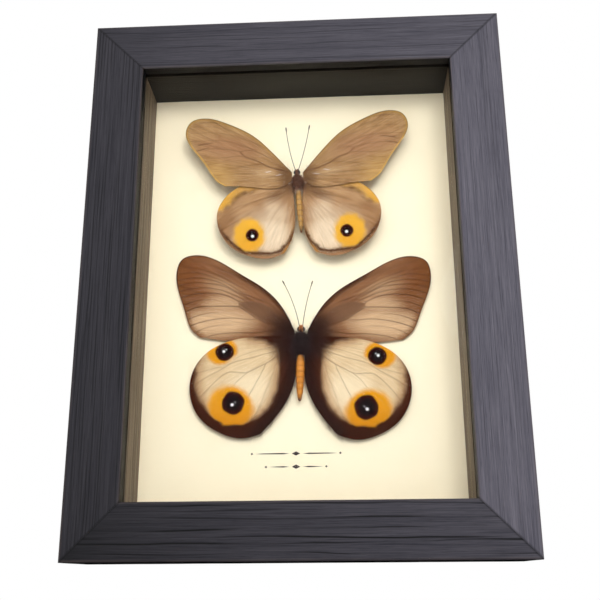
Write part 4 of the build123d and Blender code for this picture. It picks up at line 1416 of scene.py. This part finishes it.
def wing(name, material):
    """A thin closed wing with raised veins, cut back from the body that it grows from."""
    settings = bpy.context.scene.butterflies
    origin, across, up, normal, side, specimen, kind, length = wing_plane(name)
    unit = length / 100
    fine = 0.3 / unit
    leading, trailing = through(LEADING[kind], fine), through(TRAILING[kind], fine)
    closing = np.linspace(trailing[-1], leading[0], max(3, int(
        np.linalg.norm(trailing[-1] - leading[0]) / fine)))
    ring = np.vstack([leading[:-1], trailing[:-1], closing[:-1]])
    step = settings.wing_grid / MM / unit
    low, high = ring.min(0), ring.max(0)
    rows = np.arange(low[1], high[1], step * 0.866)
    spots = [
        (u + (step / 2 if k % 2 else 0), v)
        for k, v in enumerate(rows) for u in np.arange(low[0], high[0], step)
    ]
    spots = np.array(spots)
    spots = spots[within(spots, ring) > 0.45 * step]
    x, z, _, _, lean, thorax, abdomen, _ = SPECIMENS[specimen]
    lean = math.radians(lean)

    def body_place(u, v):
        """Millimetres across and up from the thorax's middle, along the leaning body."""
        p = origin / MM + across * (side * u * unit) + up * (v * unit)
        dx, dz = p.x - x, p.z - z
        return dx * math.cos(lean) + dz * math.sin(lean), -dx * math.sin(lean) + dz * math.cos(lean)

    def in_body(u, v):
        a, b = body_place(u, v)
        oval = (a / (thorax[0] * 0.8)) ** 2 + (b / (thorax[1] * 0.46)) ** 2 < 1
        tail = abs(a) < abdomen[0] * 0.6 and -thorax[1] * 0.45 - abdomen[1] < b < -thorax[1] * 0.3
        return oval or tail

    flat = np.vstack([ring, spots])
    links = [(i, (i + 1) % len(ring)) for i in range(len(ring))]
    cut = geometry.delaunay_2d_cdt([Vector(p) for p in flat], links, [], 0, 1e-6)
    places = np.array([tuple(p) for p in cut[0]])
    triangles = np.array(cut[2])
    centres = places[triangles].mean(1)
    keep = within(centres, ring) > 0
    keep &= ~np.array([in_body(u, v) for u, v in centres])
    triangles = triangles[keep]
    used, triangles = np.unique(triangles, return_inverse=True)
    triangles = triangles.reshape(-1, 3)
    places = places[used]
    turn = np.cross(
        np.c_[places[triangles[:, 1]] - places[triangles[:, 0]]],
        np.c_[places[triangles[:, 2]] - places[triangles[:, 0]]],
    )
    triangles[turn < 0] = triangles[turn < 0][:, ::-1]

    edge = {}
    corner = {"upper_forewing": 0.72, "upper_hindwing": 0.45, "lower_forewing": 0.74,
              "lower_hindwing": 0.5}[kind]
    edge["leading"], _ = line_distance(places, leading[: int(corner * len(leading))])
    edge["outer"], _ = line_distance(places, leading[int(0.55 * len(leading)):])
    edge["trailing"], _ = line_distance(places, trailing)
    marks = {key: np.zeros(len(places)) for key in
             ("pale", "warm", "gold", "amber", "dark", "deep", "vein", "rim", "spot", "pupil", "fur")}
    PAINTERS[kind](marks, places, edge, side)
    ridge = np.zeros(len(places))
    strength = 1.25 if specimen == "lower" else 1.05
    for line, start, end, wide in VEINS[kind]:
        away, share = line_distance(places, through(line, 1.0))
        wide = wide / unit
        force = start + (end - start) * share
        marks["vein"] = np.maximum(
            marks["vein"], np.clip(strength * force, 0, 1) * np.exp(-((away / (0.55 * wide)) ** 2))
        )
        ridge = np.maximum(ridge, force * np.exp(-((away / wide) ** 2)))
    angle = np.arctan2(places[:, 1] - 1, places[:, 0] + 8)
    radius = np.hypot(places[:, 0] + 8, places[:, 1] - 1) / 100
    number = 3.0 * list(WING_SCALES).index(kind) + (side > 0)
    fan = np.stack([angle, radius, np.full(len(places), number)], 1)

    base = np.array(origin) + places[:, :1] * side * unit * MM * np.array(across)
    base = base + places[:, 1:] * unit * MM * np.array(up)
    wave = settings.billow * ripple(base[:, 0] / MM, base[:, 2] / MM, 17, 21 + (specimen == "lower"))
    pleat = 0.06 * MM * np.sin(angle * 38 + 0.8 * ripple(places[:, 0], places[:, 1], 14, 8))
    away = np.clip(np.hypot(places[:, 0], places[:, 1]) / 16, 0, 1)
    lift = (wave + pleat) * away + settings.vein_relief * ridge
    half = settings.wing_thickness / 2
    faced = np.array(normal)
    front = base + (lift + half)[:, None] * faced
    rear = base + (lift - half)[:, None] * faced
    count = len(places)
    points = np.vstack([front, rear])
    facing = triangles if side > 0 else triangles[:, ::-1]
    faces = [tuple(t) for t in facing] + [tuple(t[::-1] + count) for t in facing]
    seen = {pair: True for a, b, c in facing for pair in ((a, b), (b, c), (c, a))}
    for a, b in seen:
        if (b, a) not in seen:
            faces.append((b, a, a + count, b + count))
    marks = {key: np.tile(values, 2) for key, values in marks.items()}
    marks["fan"] = np.vstack([fan, fan])
    made = piece(f"{name}_membrane", points, faces, material, marks, sharp=60)
    square_up(made)
    settle(made, (name,))
    return made


class CASE_OT_wings(bpy.types.Operator):
    """Eight scaled wings with raised veins and eyespots"""

    bl_idname = "display_case.wings"
    bl_label = "Wings"

    def execute(self, context):
        for specimen in ("upper", "lower"):
            for pair in ("forewing", "hindwing"):
                kind = f"{specimen}_{pair}"
                material = wing_scales(f"{kind}_scales", WING_SCALES[kind])
                for side in ("left", "right"):
                    wing(f"{specimen}_{side}_{pair}", material)
        return {"FINISHED"}


# ---------------------------------------------------------------- bodies
def hair_tree():
    """Geometry nodes that grow bent, tapered hairs where a surface is marked with fur."""
    tree = new_tree(
        "Combed hair", "Hair", Skin="Geometry", Length="Float", Radius="Float", Density="Float",
        Lift="Float", Bend="Float", Seed="Int", Finish="Material",
    )
    nodes, link = tree.nodes, tree.links.new
    enter, leave = nodes.new("NodeGroupInput"), nodes.new("NodeGroupOutput")

    def named(name, kind):
        made = nodes.new("GeometryNodeInputNamedAttribute")
        made.data_type = kind
        made.inputs["Name"].default_value = name
        return made.outputs[0]

    def added(first, second):
        made = nodes.new("ShaderNodeVectorMath")
        link(first, made.inputs[0])
        link(second, made.inputs[1])
        return made.outputs[0]

    def scaled(value, share):
        made = nodes.new("ShaderNodeVectorMath")
        made.operation = "SCALE"
        link(value, made.inputs[0])
        link(share, made.inputs["Scale"])
        return made.outputs[0]

    def times(first, second):
        made = nodes.new("ShaderNodeMath")
        made.operation = "MULTIPLY"
        link(first, made.inputs[0])
        link(second, made.inputs[1])
        return made.outputs[0]

    spread = nodes.new("GeometryNodeDistributePointsOnFaces")
    link(enter.outputs["Skin"], spread.inputs["Mesh"])
    link(times(named("fur", "FLOAT"), enter.outputs["Density"]), spread.inputs["Density"])
    link(enter.outputs["Seed"], spread.inputs["Seed"])
    comb = named("comb", "FLOAT_VECTOR")
    stray = nodes.new("FunctionNodeRandomValue")
    stray.data_type = "FLOAT_VECTOR"
    stray.inputs[0].default_value = (-0.32, -0.32, -0.32)
    stray.inputs[1].default_value = (0.32, 0.32, 0.32)
    link(enter.outputs["Seed"], stray.inputs["Seed"])
    aim = added(scaled(spread.outputs["Normal"], enter.outputs["Lift"]), comb)
    aim = added(aim, stray.outputs[0])
    align = nodes.new("FunctionNodeAlignRotationToVector")
    align.axis = "Z"
    link(aim, align.inputs["Vector"])
    keep_comb = nodes.new("GeometryNodeStoreNamedAttribute")
    keep_comb.data_type = "FLOAT_VECTOR"
    keep_comb.domain = "POINT"
    keep_comb.inputs["Name"].default_value = "comb"
    link(spread.outputs["Points"], keep_comb.inputs["Geometry"])
    link(added(comb, stray.outputs[0]), keep_comb.inputs["Value"])
    cone = nodes.new("GeometryNodeMeshCone")
    cone.inputs["Vertices"].default_value = 3
    cone.inputs["Side Segments"].default_value = 3
    cone.inputs["Radius Top"].default_value = 0.000006
    link(enter.outputs["Radius"], cone.inputs["Radius Bottom"])
    link(enter.outputs["Length"], cone.inputs["Depth"])
    height = nodes.new("GeometryNodeInputPosition")
    apart = nodes.new("ShaderNodeSeparateXYZ")
    link(height.outputs[0], apart.inputs[0])
    share = nodes.new("ShaderNodeMath")
    share.operation = "DIVIDE"
    link(apart.outputs["Z"], share.inputs[0])
    link(enter.outputs["Length"], share.inputs[1])
    reach = nodes.new("GeometryNodeStoreNamedAttribute")
    reach.data_type = "FLOAT"
    reach.domain = "POINT"
    reach.inputs["Name"].default_value = "reach"
    link(cone.outputs["Mesh"], reach.inputs["Geometry"])
    link(share.outputs[0], reach.inputs["Value"])
    grow = nodes.new("FunctionNodeRandomValue")
    grow.data_type = "FLOAT"
    grow.inputs[2].default_value = 0.5
    grow.inputs[3].default_value = 1.05
    link(enter.outputs["Seed"], grow.inputs["Seed"])
    put = nodes.new("GeometryNodeInstanceOnPoints")
    link(keep_comb.outputs["Geometry"], put.inputs["Points"])
    link(reach.outputs["Geometry"], put.inputs["Instance"])
    link(align.outputs["Rotation"], put.inputs["Rotation"])
    link(grow.outputs[1], put.inputs["Scale"])
    real = nodes.new("GeometryNodeRealizeInstances")
    link(put.outputs["Instances"], real.inputs["Geometry"])
    move = nodes.new("GeometryNodeSetPosition")
    link(real.outputs["Geometry"], move.inputs["Geometry"])
    along = named("reach", "FLOAT")
    sweep = times(times(along, along), times(enter.outputs["Bend"], enter.outputs["Length"]))
    link(scaled(named("comb", "FLOAT_VECTOR"), sweep), move.inputs["Offset"])
    coat = nodes.new("GeometryNodeSetMaterial")
    link(move.outputs["Geometry"], coat.inputs["Geometry"])
    link(enter.outputs["Finish"], coat.inputs["Material"])
    link(coat.outputs["Geometry"], leave.inputs["Hair"])
    return tree


def grow_hair(skin, name, tree, material, length, density, lift, bend, seed, radius):
    """Hair grown from a skin piece, as a piece of its own."""
    made = bpy.data.objects.new(name, skin.data.copy())
    bpy.context.scene.collection.objects.link(made)
    run_tree(
        made, tree, Length=length, Radius=radius, Density=density / MM**2, Lift=lift, Bend=bend,
        Seed=seed, Finish=material,
    )
    keep = {"reach"}
    for attribute in list(made.data.attributes):
        if not attribute.is_required and not attribute.is_internal and attribute.name not in keep:
            made.data.attributes.remove(attribute)
    return settle(made)


def turned(profile, count):
    """Points and faces of a closed body turned about Z from (place, radius) stations."""
    points = []
    for z, r in profile:
        for k in range(count):
            a = 2 * math.pi * k / count
            points.append((r * math.cos(a), r * math.sin(a), z))
    return np.array(points), tube_faces(len(profile), count, True)


def body_frame(specimen):
    """Turns millimetres in the body (across, towards the glass, headwards) into the frame."""
    x, z, _, _, lean, _, _, height = SPECIMENS[specimen]
    a = math.radians(lean)
    across = np.array((math.cos(a), 0, math.sin(a)))
    ahead = np.array((-math.sin(a), 0, math.cos(a)))
    front = np.array((0, -1.0, 0))
    origin = np.array((x * MM, paper_front - height * MM, z * MM))

    def into(points):
        p = np.atleast_2d(np.asarray(points, float)) * MM
        return origin + p[:, :1] * across + p[:, 1:2] * front + p[:, 2:] * ahead

    return into, across, ahead


def stations_of(points, spacing=0.25):
    line = through(points, spacing)
    return [(z, max(r, 0.03)) for z, r in line]


class CASE_OT_bodies(bpy.types.Operator):
    """Thoraxes, heads, ringed abdomens and their combed hair"""

    bl_idname = "display_case.bodies"
    bl_label = "Bodies"

    def execute(self, context):
        self.hair = hair_tree()
        self.settings = context.scene.butterflies
        upper_coat = insect_coat("upper_fur", shade(74, 42, 30), shade(150, 104, 80))
        lower_coat = insect_coat("lower_fur", shade(22, 10, 12), shade(58, 28, 28))
        pale_coat = insect_coat("upper_pale_fur", shade(150, 110, 90), shade(232, 206, 184))
        ochre_coat = insect_coat("inner_margin_fur", shade(112, 70, 36), shade(196, 150, 98))
        maroon_coat = insect_coat("wing_root_fur", shade(36, 16, 18), shade(88, 46, 38))
        palpus = insect_coat("palpus_fur", shade(120, 62, 24), shade(214, 132, 62))
        eye = eye_lens("eye_lens")
        ochre = ringed_skin(
            "upper_abdomen_skin", shade(188, 142, 76), shade(110, 68, 32), shade(80, 46, 24)
        )
        orange = ringed_skin(
            "lower_abdomen_skin", shade(214, 138, 48), shade(158, 88, 26), shade(70, 36, 22)
        )
        self.thorax("upper", upper_coat, 1.0, 1.0)
        self.thorax("lower", lower_coat, 1.5, 1.2)
        self.abdomen("upper", ochre, ochre_coat)
        self.abdomen("lower", orange, palpus)
        self.head("upper", upper_coat, eye, upper_coat)
        self.head("lower", lower_coat, eye, palpus)
        self.rear_tuft("upper", pale_coat)
        for name in SPREAD:
            skin = bpy.data.objects[f"{name}_membrane"]
            self.comb_wing(skin, name)
            lower = name.startswith("lower")
            coat = maroon_coat if lower else (ochre_coat if "hind" in name else upper_coat)
            grow_hair(
                skin, f"{name}_hair", self.hair, coat, (2.1 if lower else 1.6) * MM,
                10.0, 0.16, 0.35, 9 + len(name), self.settings.hair_radius * 0.8,
            )
        return {"FINISHED"}

    def comb_wing(self, skin, name):
        """Hair on a wing lies away from its root."""
        origin = np.array(wing_plane(name)[0])
        mesh = skin.data
        co = np.zeros(len(mesh.vertices) * 3)
        mesh.vertices.foreach_get("co", co)
        away = co.reshape(-1, 3) - origin
        away[:, 1] = 0
        away /= np.maximum(np.linalg.norm(away, axis=1), 1e-6)[:, None]
        if "hindwing" in name:
            away[:, 2] -= 0.5
        mesh.attributes.new("comb", "FLOAT_VECTOR", "POINT").data.foreach_set(
            "vector", away.astype(np.float32).ravel()
        )
        fur = mesh.attributes["fur"]
        values = np.zeros(len(mesh.vertices), np.float32)
        fur.data.foreach_get("value", values)
        values[len(values) // 2:] = 0
        fur.data.foreach_set("value", values)

    def skin(self, name, profile, count, into, material, marks, bumps, seed):
        """A turned body with low random bumps, and its marks worked out on its own points."""
        local, faces = turned(profile, count)
        chance = ripple(np.arctan2(local[:, 1], local[:, 0]) * 1.6, local[:, 2], 0.8, seed)
        grown = np.hypot(local[:, 0], local[:, 1])
        local[:, :2] *= (1 + bumps * chance * np.clip(grown, 0, 1))[:, None]
        extra = {key: rule(local) for key, rule in marks.items()}
        made = piece(name, into(local), faces, material, extra, sharp=60)
        square_up(made)
        return made

    def thorax(self, specimen, coat, length, density):
        into, across, ahead = body_frame(specimen)
        radius, long = SPECIMENS[specimen][5]
        head_radius = HEADS[specimen][0]
        tail_radius = SPECIMENS[specimen][6][0]
        neck, waist = 0.45 * long, -0.45 * long
        profile = stations_of([
            (waist - 0.02, 0.1), (waist, 0.62 * tail_radius), (0.55 * waist, 0.80 * radius),
            (0, 0.92 * radius), (0.6 * neck, 0.76 * radius), (neck, 0.55 * head_radius),
            (neck + 0.02, 0.1),
        ])
        marks = {
            "fur": lambda p: np.ones(len(p)),
            "reach": lambda p: np.zeros(len(p)),
            "comb": lambda p: self.combed(p, across, ahead, specimen),
        }
        made = self.skin(f"{specimen}_thorax_skin", profile, 48, into, coat, marks, 0.07, 5)
        grow_hair(
            made, f"{specimen}_thorax_hair", self.hair, coat, length * self.settings.hair_length,
            density * self.settings.hair_density, 0.55, 0.5, self.settings.hair_seed,
            self.settings.hair_radius,
        )
        settle(made, (f"{specimen}_thorax",))

    def combed(self, p, across, ahead, specimen):
        out = np.where(p[:, :1] >= 0, 1.0, -1.0) * np.clip(np.abs(p[:, :1]) / 1.5, 0, 1)
        down = -0.75 * np.ones(len(p))
        if specimen == "lower":
            down = np.where(p[:, 2] > 1.0, 0.1, -0.7)
        return 0.55 * out * across + down[:, None] * ahead

    def abdomen(self, specimen, skin, coat):
        into, _, ahead = body_frame(specimen)
        (_, long), (radius, tail) = SPECIMENS[specimen][5:7]
        waist = -0.45 * long
        shape = through([
            (0, 0.62), (0.1, 0.86), (0.35, 1.0), (0.7, 0.82), (0.95, 0.42), (1.0, 0.12),
        ], 0.006)
        rings = 8
        profile = []
        for s, r in shape:
            phase = (s * rings) % 1.0
            swell = 0.93 + 0.09 * math.sin(math.pi * phase) ** 0.7
            profile.append((waist - s * tail, radius * r * swell))
        profile = profile[::-1]
        low = waist - tail

        def ring(p):
            s = (waist - p[:, 2]) / tail * rings
            # The ring mark also darkens the flanks, past seven tenths of the radius: painted shade on the
            # abdomen's sides.
            return 0.75 * np.exp(-(((s - np.round(s)) / 0.12) ** 2)) + 0.25 * (
                np.abs(p[:, 0]) / radius > 0.7)

        marks = {
            "ring": ring,
            "tail": lambda p: eased(-p[:, 2], -low - 0.16 * tail, -low),
            "fur": lambda p: 0.25 + 0.75 * eased(-p[:, 2], -low - 0.14 * tail, -low),
            "comb": lambda p: np.repeat(-ahead[None, :], len(p), 0),
            "reach": lambda p: np.zeros(len(p)),
        }
        made = self.skin(f"{specimen}_abdomen_skin", profile, 40, into, skin, marks, 0.03, 3)
        grow_hair(
            made, f"{specimen}_abdomen_down", self.hair, coat, 0.75 * MM, 5.0, 0.2, 0.2, 6,
            self.settings.hair_radius * 0.7,
        )
        settle(made, (f"{specimen}_abdomen",))

    def rear_tuft(self, specimen, coat):
        """Pale hairs that fall from the thorax over the abdomen."""
        into, _, ahead = body_frame(specimen)
        _, long = SPECIMENS[specimen][5]
        local, faces = turned([(-0.52 * long, 0.25), (-0.47 * long, 0.95), (-0.36 * long, 1.25),
                               (-0.3 * long, 0.4)], 24)
        front = local[:, 1] > -0.2
        marks = {
            "fur": front.astype(float), "reach": np.zeros(len(local)),
            "comb": np.repeat(-ahead[None, :], len(local), 0),
        }
        made = piece(f"{specimen}_rear_tuft_skin", into(local), faces, coat, marks, sharp=60)
        square_up(made)
        grow_hair(made, f"{specimen}_rear_tuft", self.hair, coat, 1.9 * MM, 16, 0.25, 0.3, 12,
                  self.settings.hair_radius)
        settle(made)

    def head(self, specimen, coat, eye, palpus):
        """Head capsule, two eyes and a pair of forward palpi."""
        into, _, ahead = body_frame(specimen)
        radius, long = HEADS[specimen]
        neck = 0.45 * SPECIMENS[specimen][5][1]
        shape = bmesh.new()

        def ball(centre, sizes, which, turn=0.0, segments=28):
            before = set(shape.faces)
            move = Matrix.Translation(centre) @ Matrix.Rotation(turn, 4, "Y")
            bmesh.ops.create_uvsphere(
                shape, u_segments=segments, v_segments=segments // 2, radius=1.0,
                matrix=move @ Matrix.Diagonal((*sizes, 1.0)),
            )
            for f in shape.faces:
                if f not in before:
                    f.material_index = which

        ball((0, 0, neck + 0.46 * long), (0.62 * radius, 0.72 * radius, 0.50 * long), 0)
        for side in (-1, 1):
            ball((side * 0.58 * radius, 0.12, neck + 0.50 * long),
                 (0.46 * radius, 0.58 * radius, 0.36 * long), 1)
            if specimen == "lower":
                ball((side * 0.26 * radius, 0.62 * radius, neck + 0.52 * long),
                     (0.21 * radius, 0.26 * radius, 0.50 * long), 2, side * -0.12)
            else:
                ball((side * 0.24 * radius, 0.1, neck + 0.86 * long),
                     (0.18 * radius, 0.24 * radius, 0.28 * long), 2, side * 0.18)
        bmesh.ops.recalc_face_normals(shape, faces=shape.faces)
        for v in shape.verts:
            v.co = Vector(into([tuple(v.co)])[0])
        points = [v.co.copy() for v in shape.verts]
        shape.verts.index_update()
        faces = [[v.index for v in f.verts] for f in shape.faces]
        which = [f.material_index for f in shape.faces]
        shape.free()
        count = len(points)
        marks = {
            "fur": np.ones(count), "reach": np.full(count, 0.2),
            "comb": np.repeat((0.6 * ahead + np.array((0, -0.3, 0)))[None, :], count, 0),
        }
        made = piece(f"{specimen}_head_skin", points, faces, [coat, eye, palpus], marks, 60, which)
        square_up(made)
        tuft = made.copy()
        tuft.data = made.data.copy()
        self.only(tuft.data, 2 if specimen == "lower" else 0)
        bpy.context.scene.collection.objects.link(tuft)
        grow_hair(tuft, f"{specimen}_head_hair", self.hair, palpus, 0.55 * MM, 30, 0.4, 0.3, 3,
                  self.settings.hair_radius * 0.7)
        bpy.data.objects.remove(tuft)
        settle(made, (f"{specimen}_head",))

    def only(self, mesh, which):
        """Keeps a mesh's faces of one material."""
        shape = bmesh.new()
        shape.from_mesh(mesh)
        other = [f for f in shape.faces if f.material_index != which]
        bmesh.ops.delete(shape, geom=other, context="FACES")
        shape.to_mesh(mesh)
        shape.free()


class CASE_OT_antennae(bpy.types.Operator):
    """Four fine ringed antennae with slim clubs"""

    bl_idname = "display_case.antennae"
    bl_label = "Antennae and pins"

    bends = {
        "upper_left": [(-3.4, 15.6), (-4.4, 22.9)], "upper_right": [(2.6, 13.2), (4.8, 23.6)],
        "lower_left": [(-2.9, 15.7), (-6.6, 23.8)], "lower_right": [(2.3, 15.5), (4.6, 23.4)],
    }

    def execute(self, context):
        coats = {
            "upper": insect_coat("upper_antenna", shade(30, 20, 15), shade(60, 44, 33), 0.45),
            "lower": insect_coat("lower_antenna", shade(22, 15, 13), shade(50, 36, 28), 0.45),
        }
        for name, (bow, tip) in self.bends.items():
            specimen, side = name.split("_")
            self.antenna(specimen, side, bow, tip, coats[specimen])
        pin = plated_metal("pin_steel", shade(150, 150, 154), shade(70, 70, 74), 0.25)
        for specimen in ("upper", "lower"):
            paint_node(f"{specimen}_pin", pin)
        return {"FINISHED"}

    def antenna(self, specimen, side, bow, tip, material):
        x, z, _, _, _, thorax, _, _ = SPECIMENS[specimen]
        into, _, _ = body_frame(specimen)
        radius, long = HEADS[specimen]
        sign = -1 if side == "left" else 1
        neck = 0.45 * thorax[1]
        crown = into([(0, 0, neck + 0.62 * long)])[0] / MM
        foot = crown + np.array((sign * 0.42 * radius, -0.2, 0.25 * long))
        middle = np.array((x + bow[0], crown[1] - 0.5, z + bow[1]))
        end = np.array((x + tip[0], crown[1] - 1.5, z + tip[1]))
        # The bow is a parabola through the foot, the middle and the tip
        t = np.linspace(0, 1, 177)[:, None]
        near, far = np.linalg.norm(middle - foot), np.linalg.norm(end - middle)
        m = near / (near + far)
        line = (
            foot * (t - m) * (t - 1) / m
            + middle * t * (t - 1) / (m * (m - 1))
            + end * t * (t - m) / (1 - m)
        )
        t = t[:, 0]
        joints = 0.5 + 0.5 * np.cos(t * 2 * math.pi * 44)
        width = 0.12 * (1 - 0.15 * t) * (1 + 0.05 * joints)
        width = width + 0.13 * np.exp(-(((t - 0.955) / 0.05) ** 2))
        width[-1] = 0.05
        ahead_of = np.gradient(line, axis=0)
        ahead_of /= np.linalg.norm(ahead_of, axis=1)[:, None]
        first = np.cross(ahead_of, (0, 1, 0))
        first /= np.linalg.norm(first, axis=1)[:, None]
        second = np.cross(ahead_of, first)
        sides = 8
        points, reach = [], []
        for i in range(len(line)):
            for k in range(sides):
                a = 2 * math.pi * k / sides
                out = math.cos(a) * first[i] + math.sin(a) * second[i]
                points.append((line[i] + width[i] * out) * MM)
                reach.append(0.2 + 0.2 * joints[i])
        made = piece(
            f"{specimen}_{side}_antenna_rod", points, tube_faces(len(line), sides), material,
            {"reach": np.array(reach)}, 60,
        )
        square_up(made)
        settle(made, (f"{specimen}_{side}_antenna",))


# ---------------------------------------------------------------- stage
# The photographed angle: place in metres, yaw, pitch and roll in degrees, and lens in millimetres.
CAMERA_PLACE = (0.01605, -0.30219, -0.00538)
CAMERA_TURNS = (-2.985, 17.712, -0.355)
CAMERA_LENS = 52.472
FLOOR_RADIUS, FLOOR_LEVEL, FLOOR_SIDES = 1.4, -0.0003, 64


class CASE_OT_stage(bpy.types.Operator):
    """Camera at the photographed angle, soft lamps, pale floor and white surroundings"""

    bl_idname = "display_case.stage"
    bl_label = "Stage"

    def execute(self, context):
        settings = context.scene.display_stage
        scene = context.scene
        scene.view_settings.view_transform = "Standard"
        self.camera(scene)
        key = self.lamp("key_lamp", (0.02, -0.46, 0.22), (0, 0, 0.10), 0.32, settings.key_power)
        key.visible_glossy = False
        self.lamp("side_lamp", (0.24, -0.80, 0.34), (0.02, 0, 0.09), 0.20, settings.fill_power)
        self.lamp("back_left_lamp", (-0.5, 0.62, 0.5), (0, 0, 0.10), 0.4, settings.back_power)
        self.lamp("back_right_lamp", (0.55, 0.55, 0.35), (0, 0, 0.10), 0.4, settings.back_power)
        self.world(scene, settings.ambient)
        self.floor(settings.floor)
        return {"FINISHED"}

    def camera(self, scene):
        """The camera that took the photograph."""
        yaw, pitch, roll = (math.radians(a) for a in CAMERA_TURNS)
        level = math.cos(pitch)
        ahead = Vector((math.sin(yaw) * level, math.cos(yaw) * level, math.sin(pitch)))
        right = ahead.cross(Vector((0, 0, 1))).normalized()
        up = right.cross(ahead)
        r = math.cos(roll) * right + math.sin(roll) * up
        u = -math.sin(roll) * right + math.cos(roll) * up
        data = bpy.data.cameras.new("photo_camera")
        data.lens = CAMERA_LENS
        data.sensor_width = 36
        data.clip_start = 0.01
        made = bpy.data.objects.new("photo_camera", data)
        turn = Matrix((r, u, -ahead)).transposed()
        made.matrix_world = Matrix.Translation(CAMERA_PLACE) @ turn.to_4x4()
        scene.collection.objects.link(made)
        scene.camera = made

    def lamp(self, name, place, target, width, power):
        """A round lamp, not seen itself, that faces a target."""
        data = bpy.data.lights.new(name, "AREA")
        data.shape = "DISK"
        data.size = width
        data.energy = power
        made = bpy.data.objects.new(name, data)
        made.location = place
        made.rotation_euler = (Vector(target) - Vector(place)).to_track_quat("-Z", "Y").to_euler()
        made.visible_camera = False
        bpy.context.scene.collection.objects.link(made)
        return made

    def world(self, scene, ambient):
        """Soft light all round, seen as plain white."""
        world = bpy.data.worlds.new("studio")
        world.use_nodes = True
        tree = world.node_tree
        tree.nodes.clear()
        ways = tree.nodes.new("ShaderNodeLightPath")
        seen, soft = tree.nodes.new("ShaderNodeBackground"), tree.nodes.new("ShaderNodeBackground")
        either, out = tree.nodes.new("ShaderNodeMixShader"), tree.nodes.new("ShaderNodeOutputWorld")
        seen.inputs["Color"].default_value = (1, 1, 1, 1)
        soft.inputs["Color"].default_value = (1, 1, 1, 1)
        soft.inputs["Strength"].default_value = ambient
        share = ways.outputs["Is Camera Ray"]
        for name in ("Is Glossy Ray", "Is Transmission Ray"):
            both = tree.nodes.new("ShaderNodeMath")
            both.operation = "MAXIMUM"
            tree.links.new(share, both.inputs[0])
            tree.links.new(ways.outputs[name], both.inputs[1])
            share = both.outputs[0]
        tree.links.new(share, either.inputs[0])
        tree.links.new(soft.outputs[0], either.inputs[1])
        tree.links.new(seen.outputs[0], either.inputs[2])
        tree.links.new(either.outputs[0], out.inputs["Surface"])
        scene.world = world

    def floor(self, tint):
        """A pale disc that fades out, and isn't seen from below."""
        finish = Finish("studio_floor", Roughness=0.9, Specular_IOR_Level=0.0)
        finish.set("Base Color", tuple(tint) + (1.0,))
        where = finish.place()
        far = finish.node("ShaderNodeVectorMath", operation="LENGTH")
        finish.feed(far.inputs[0], where)
        gone = finish.spread(far.outputs["Value"], 0.45, 1.3)
        shape = finish.node("ShaderNodeNewGeometry")
        hidden = finish.sum("MAXIMUM", gone, shape.outputs["Backfacing"])
        clear = finish.node("ShaderNodeBsdfTransparent")
        either = finish.node("ShaderNodeMixShader")
        finish.feed(either.inputs[0], hidden)
        finish.feed(either.inputs[1], finish.surface.outputs["BSDF"])
        finish.feed(either.inputs[2], clear.outputs["BSDF"])
        finish.feed(finish.tree.nodes["Material Output"].inputs["Surface"], either.outputs["Shader"])
        angles = [2 * math.pi * k / FLOOR_SIDES for k in range(FLOOR_SIDES)]
        points = [
            (FLOOR_RADIUS * math.cos(a), FLOOR_RADIUS * math.sin(a), FLOOR_LEVEL) for a in angles
        ]
        made = piece("studio_floor", points, [tuple(range(len(points)))], finish.material, sharp=0)
        made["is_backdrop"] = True


class CASE_PT_panel(bpy.types.Panel):
    """Everything that makes up the case"""

    bl_label = "Display case"
    bl_idname = "CASE_PT_panel"
    bl_space_type = "VIEW_3D"
    bl_region_type = "UI"
    bl_category = "Display case"

    def draw(self, context):
        layout = self.layout
        for operator in OPERATORS:
            layout.operator(operator.bl_idname)
        for group in ("display_case", "butterflies", "display_stage"):
            settings = getattr(context.scene, group)
            box = layout.box()
            for name in settings.__annotations__:
                box.prop(settings, name)


OPERATORS = (
    CASE_OT_stage, CASE_OT_rails, CASE_OT_spacers, CASE_OT_sheets, CASE_OT_ornament,
    CASE_OT_fittings, CASE_OT_wings, CASE_OT_bodies, CASE_OT_antennae,
)
GROUPS = (
    ("display_case", CaseSettings),
    ("butterflies", ButterflySettings),
    ("display_stage", StageSettings),
)


def register():
    for name, group in GROUPS:
        bpy.utils.register_class(group)
        setattr(bpy.types.Scene, name, PointerProperty(type=group))
    for operator in OPERATORS:
        bpy.utils.register_class(operator)
    bpy.utils.register_class(CASE_PT_panel)


def unregister():
    bpy.utils.unregister_class(CASE_PT_panel)
    for operator in reversed(OPERATORS):
        bpy.utils.unregister_class(operator)
    for name, group in reversed(GROUPS):
        delattr(bpy.types.Scene, name)
        bpy.utils.unregister_class(group)


def main():
    register()
    for operator in OPERATORS:
        getattr(bpy.ops.display_case, operator.bl_idname.split(".")[1])()
    shown = [list(corner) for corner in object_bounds()]


if __name__ == "__main__":
    main()
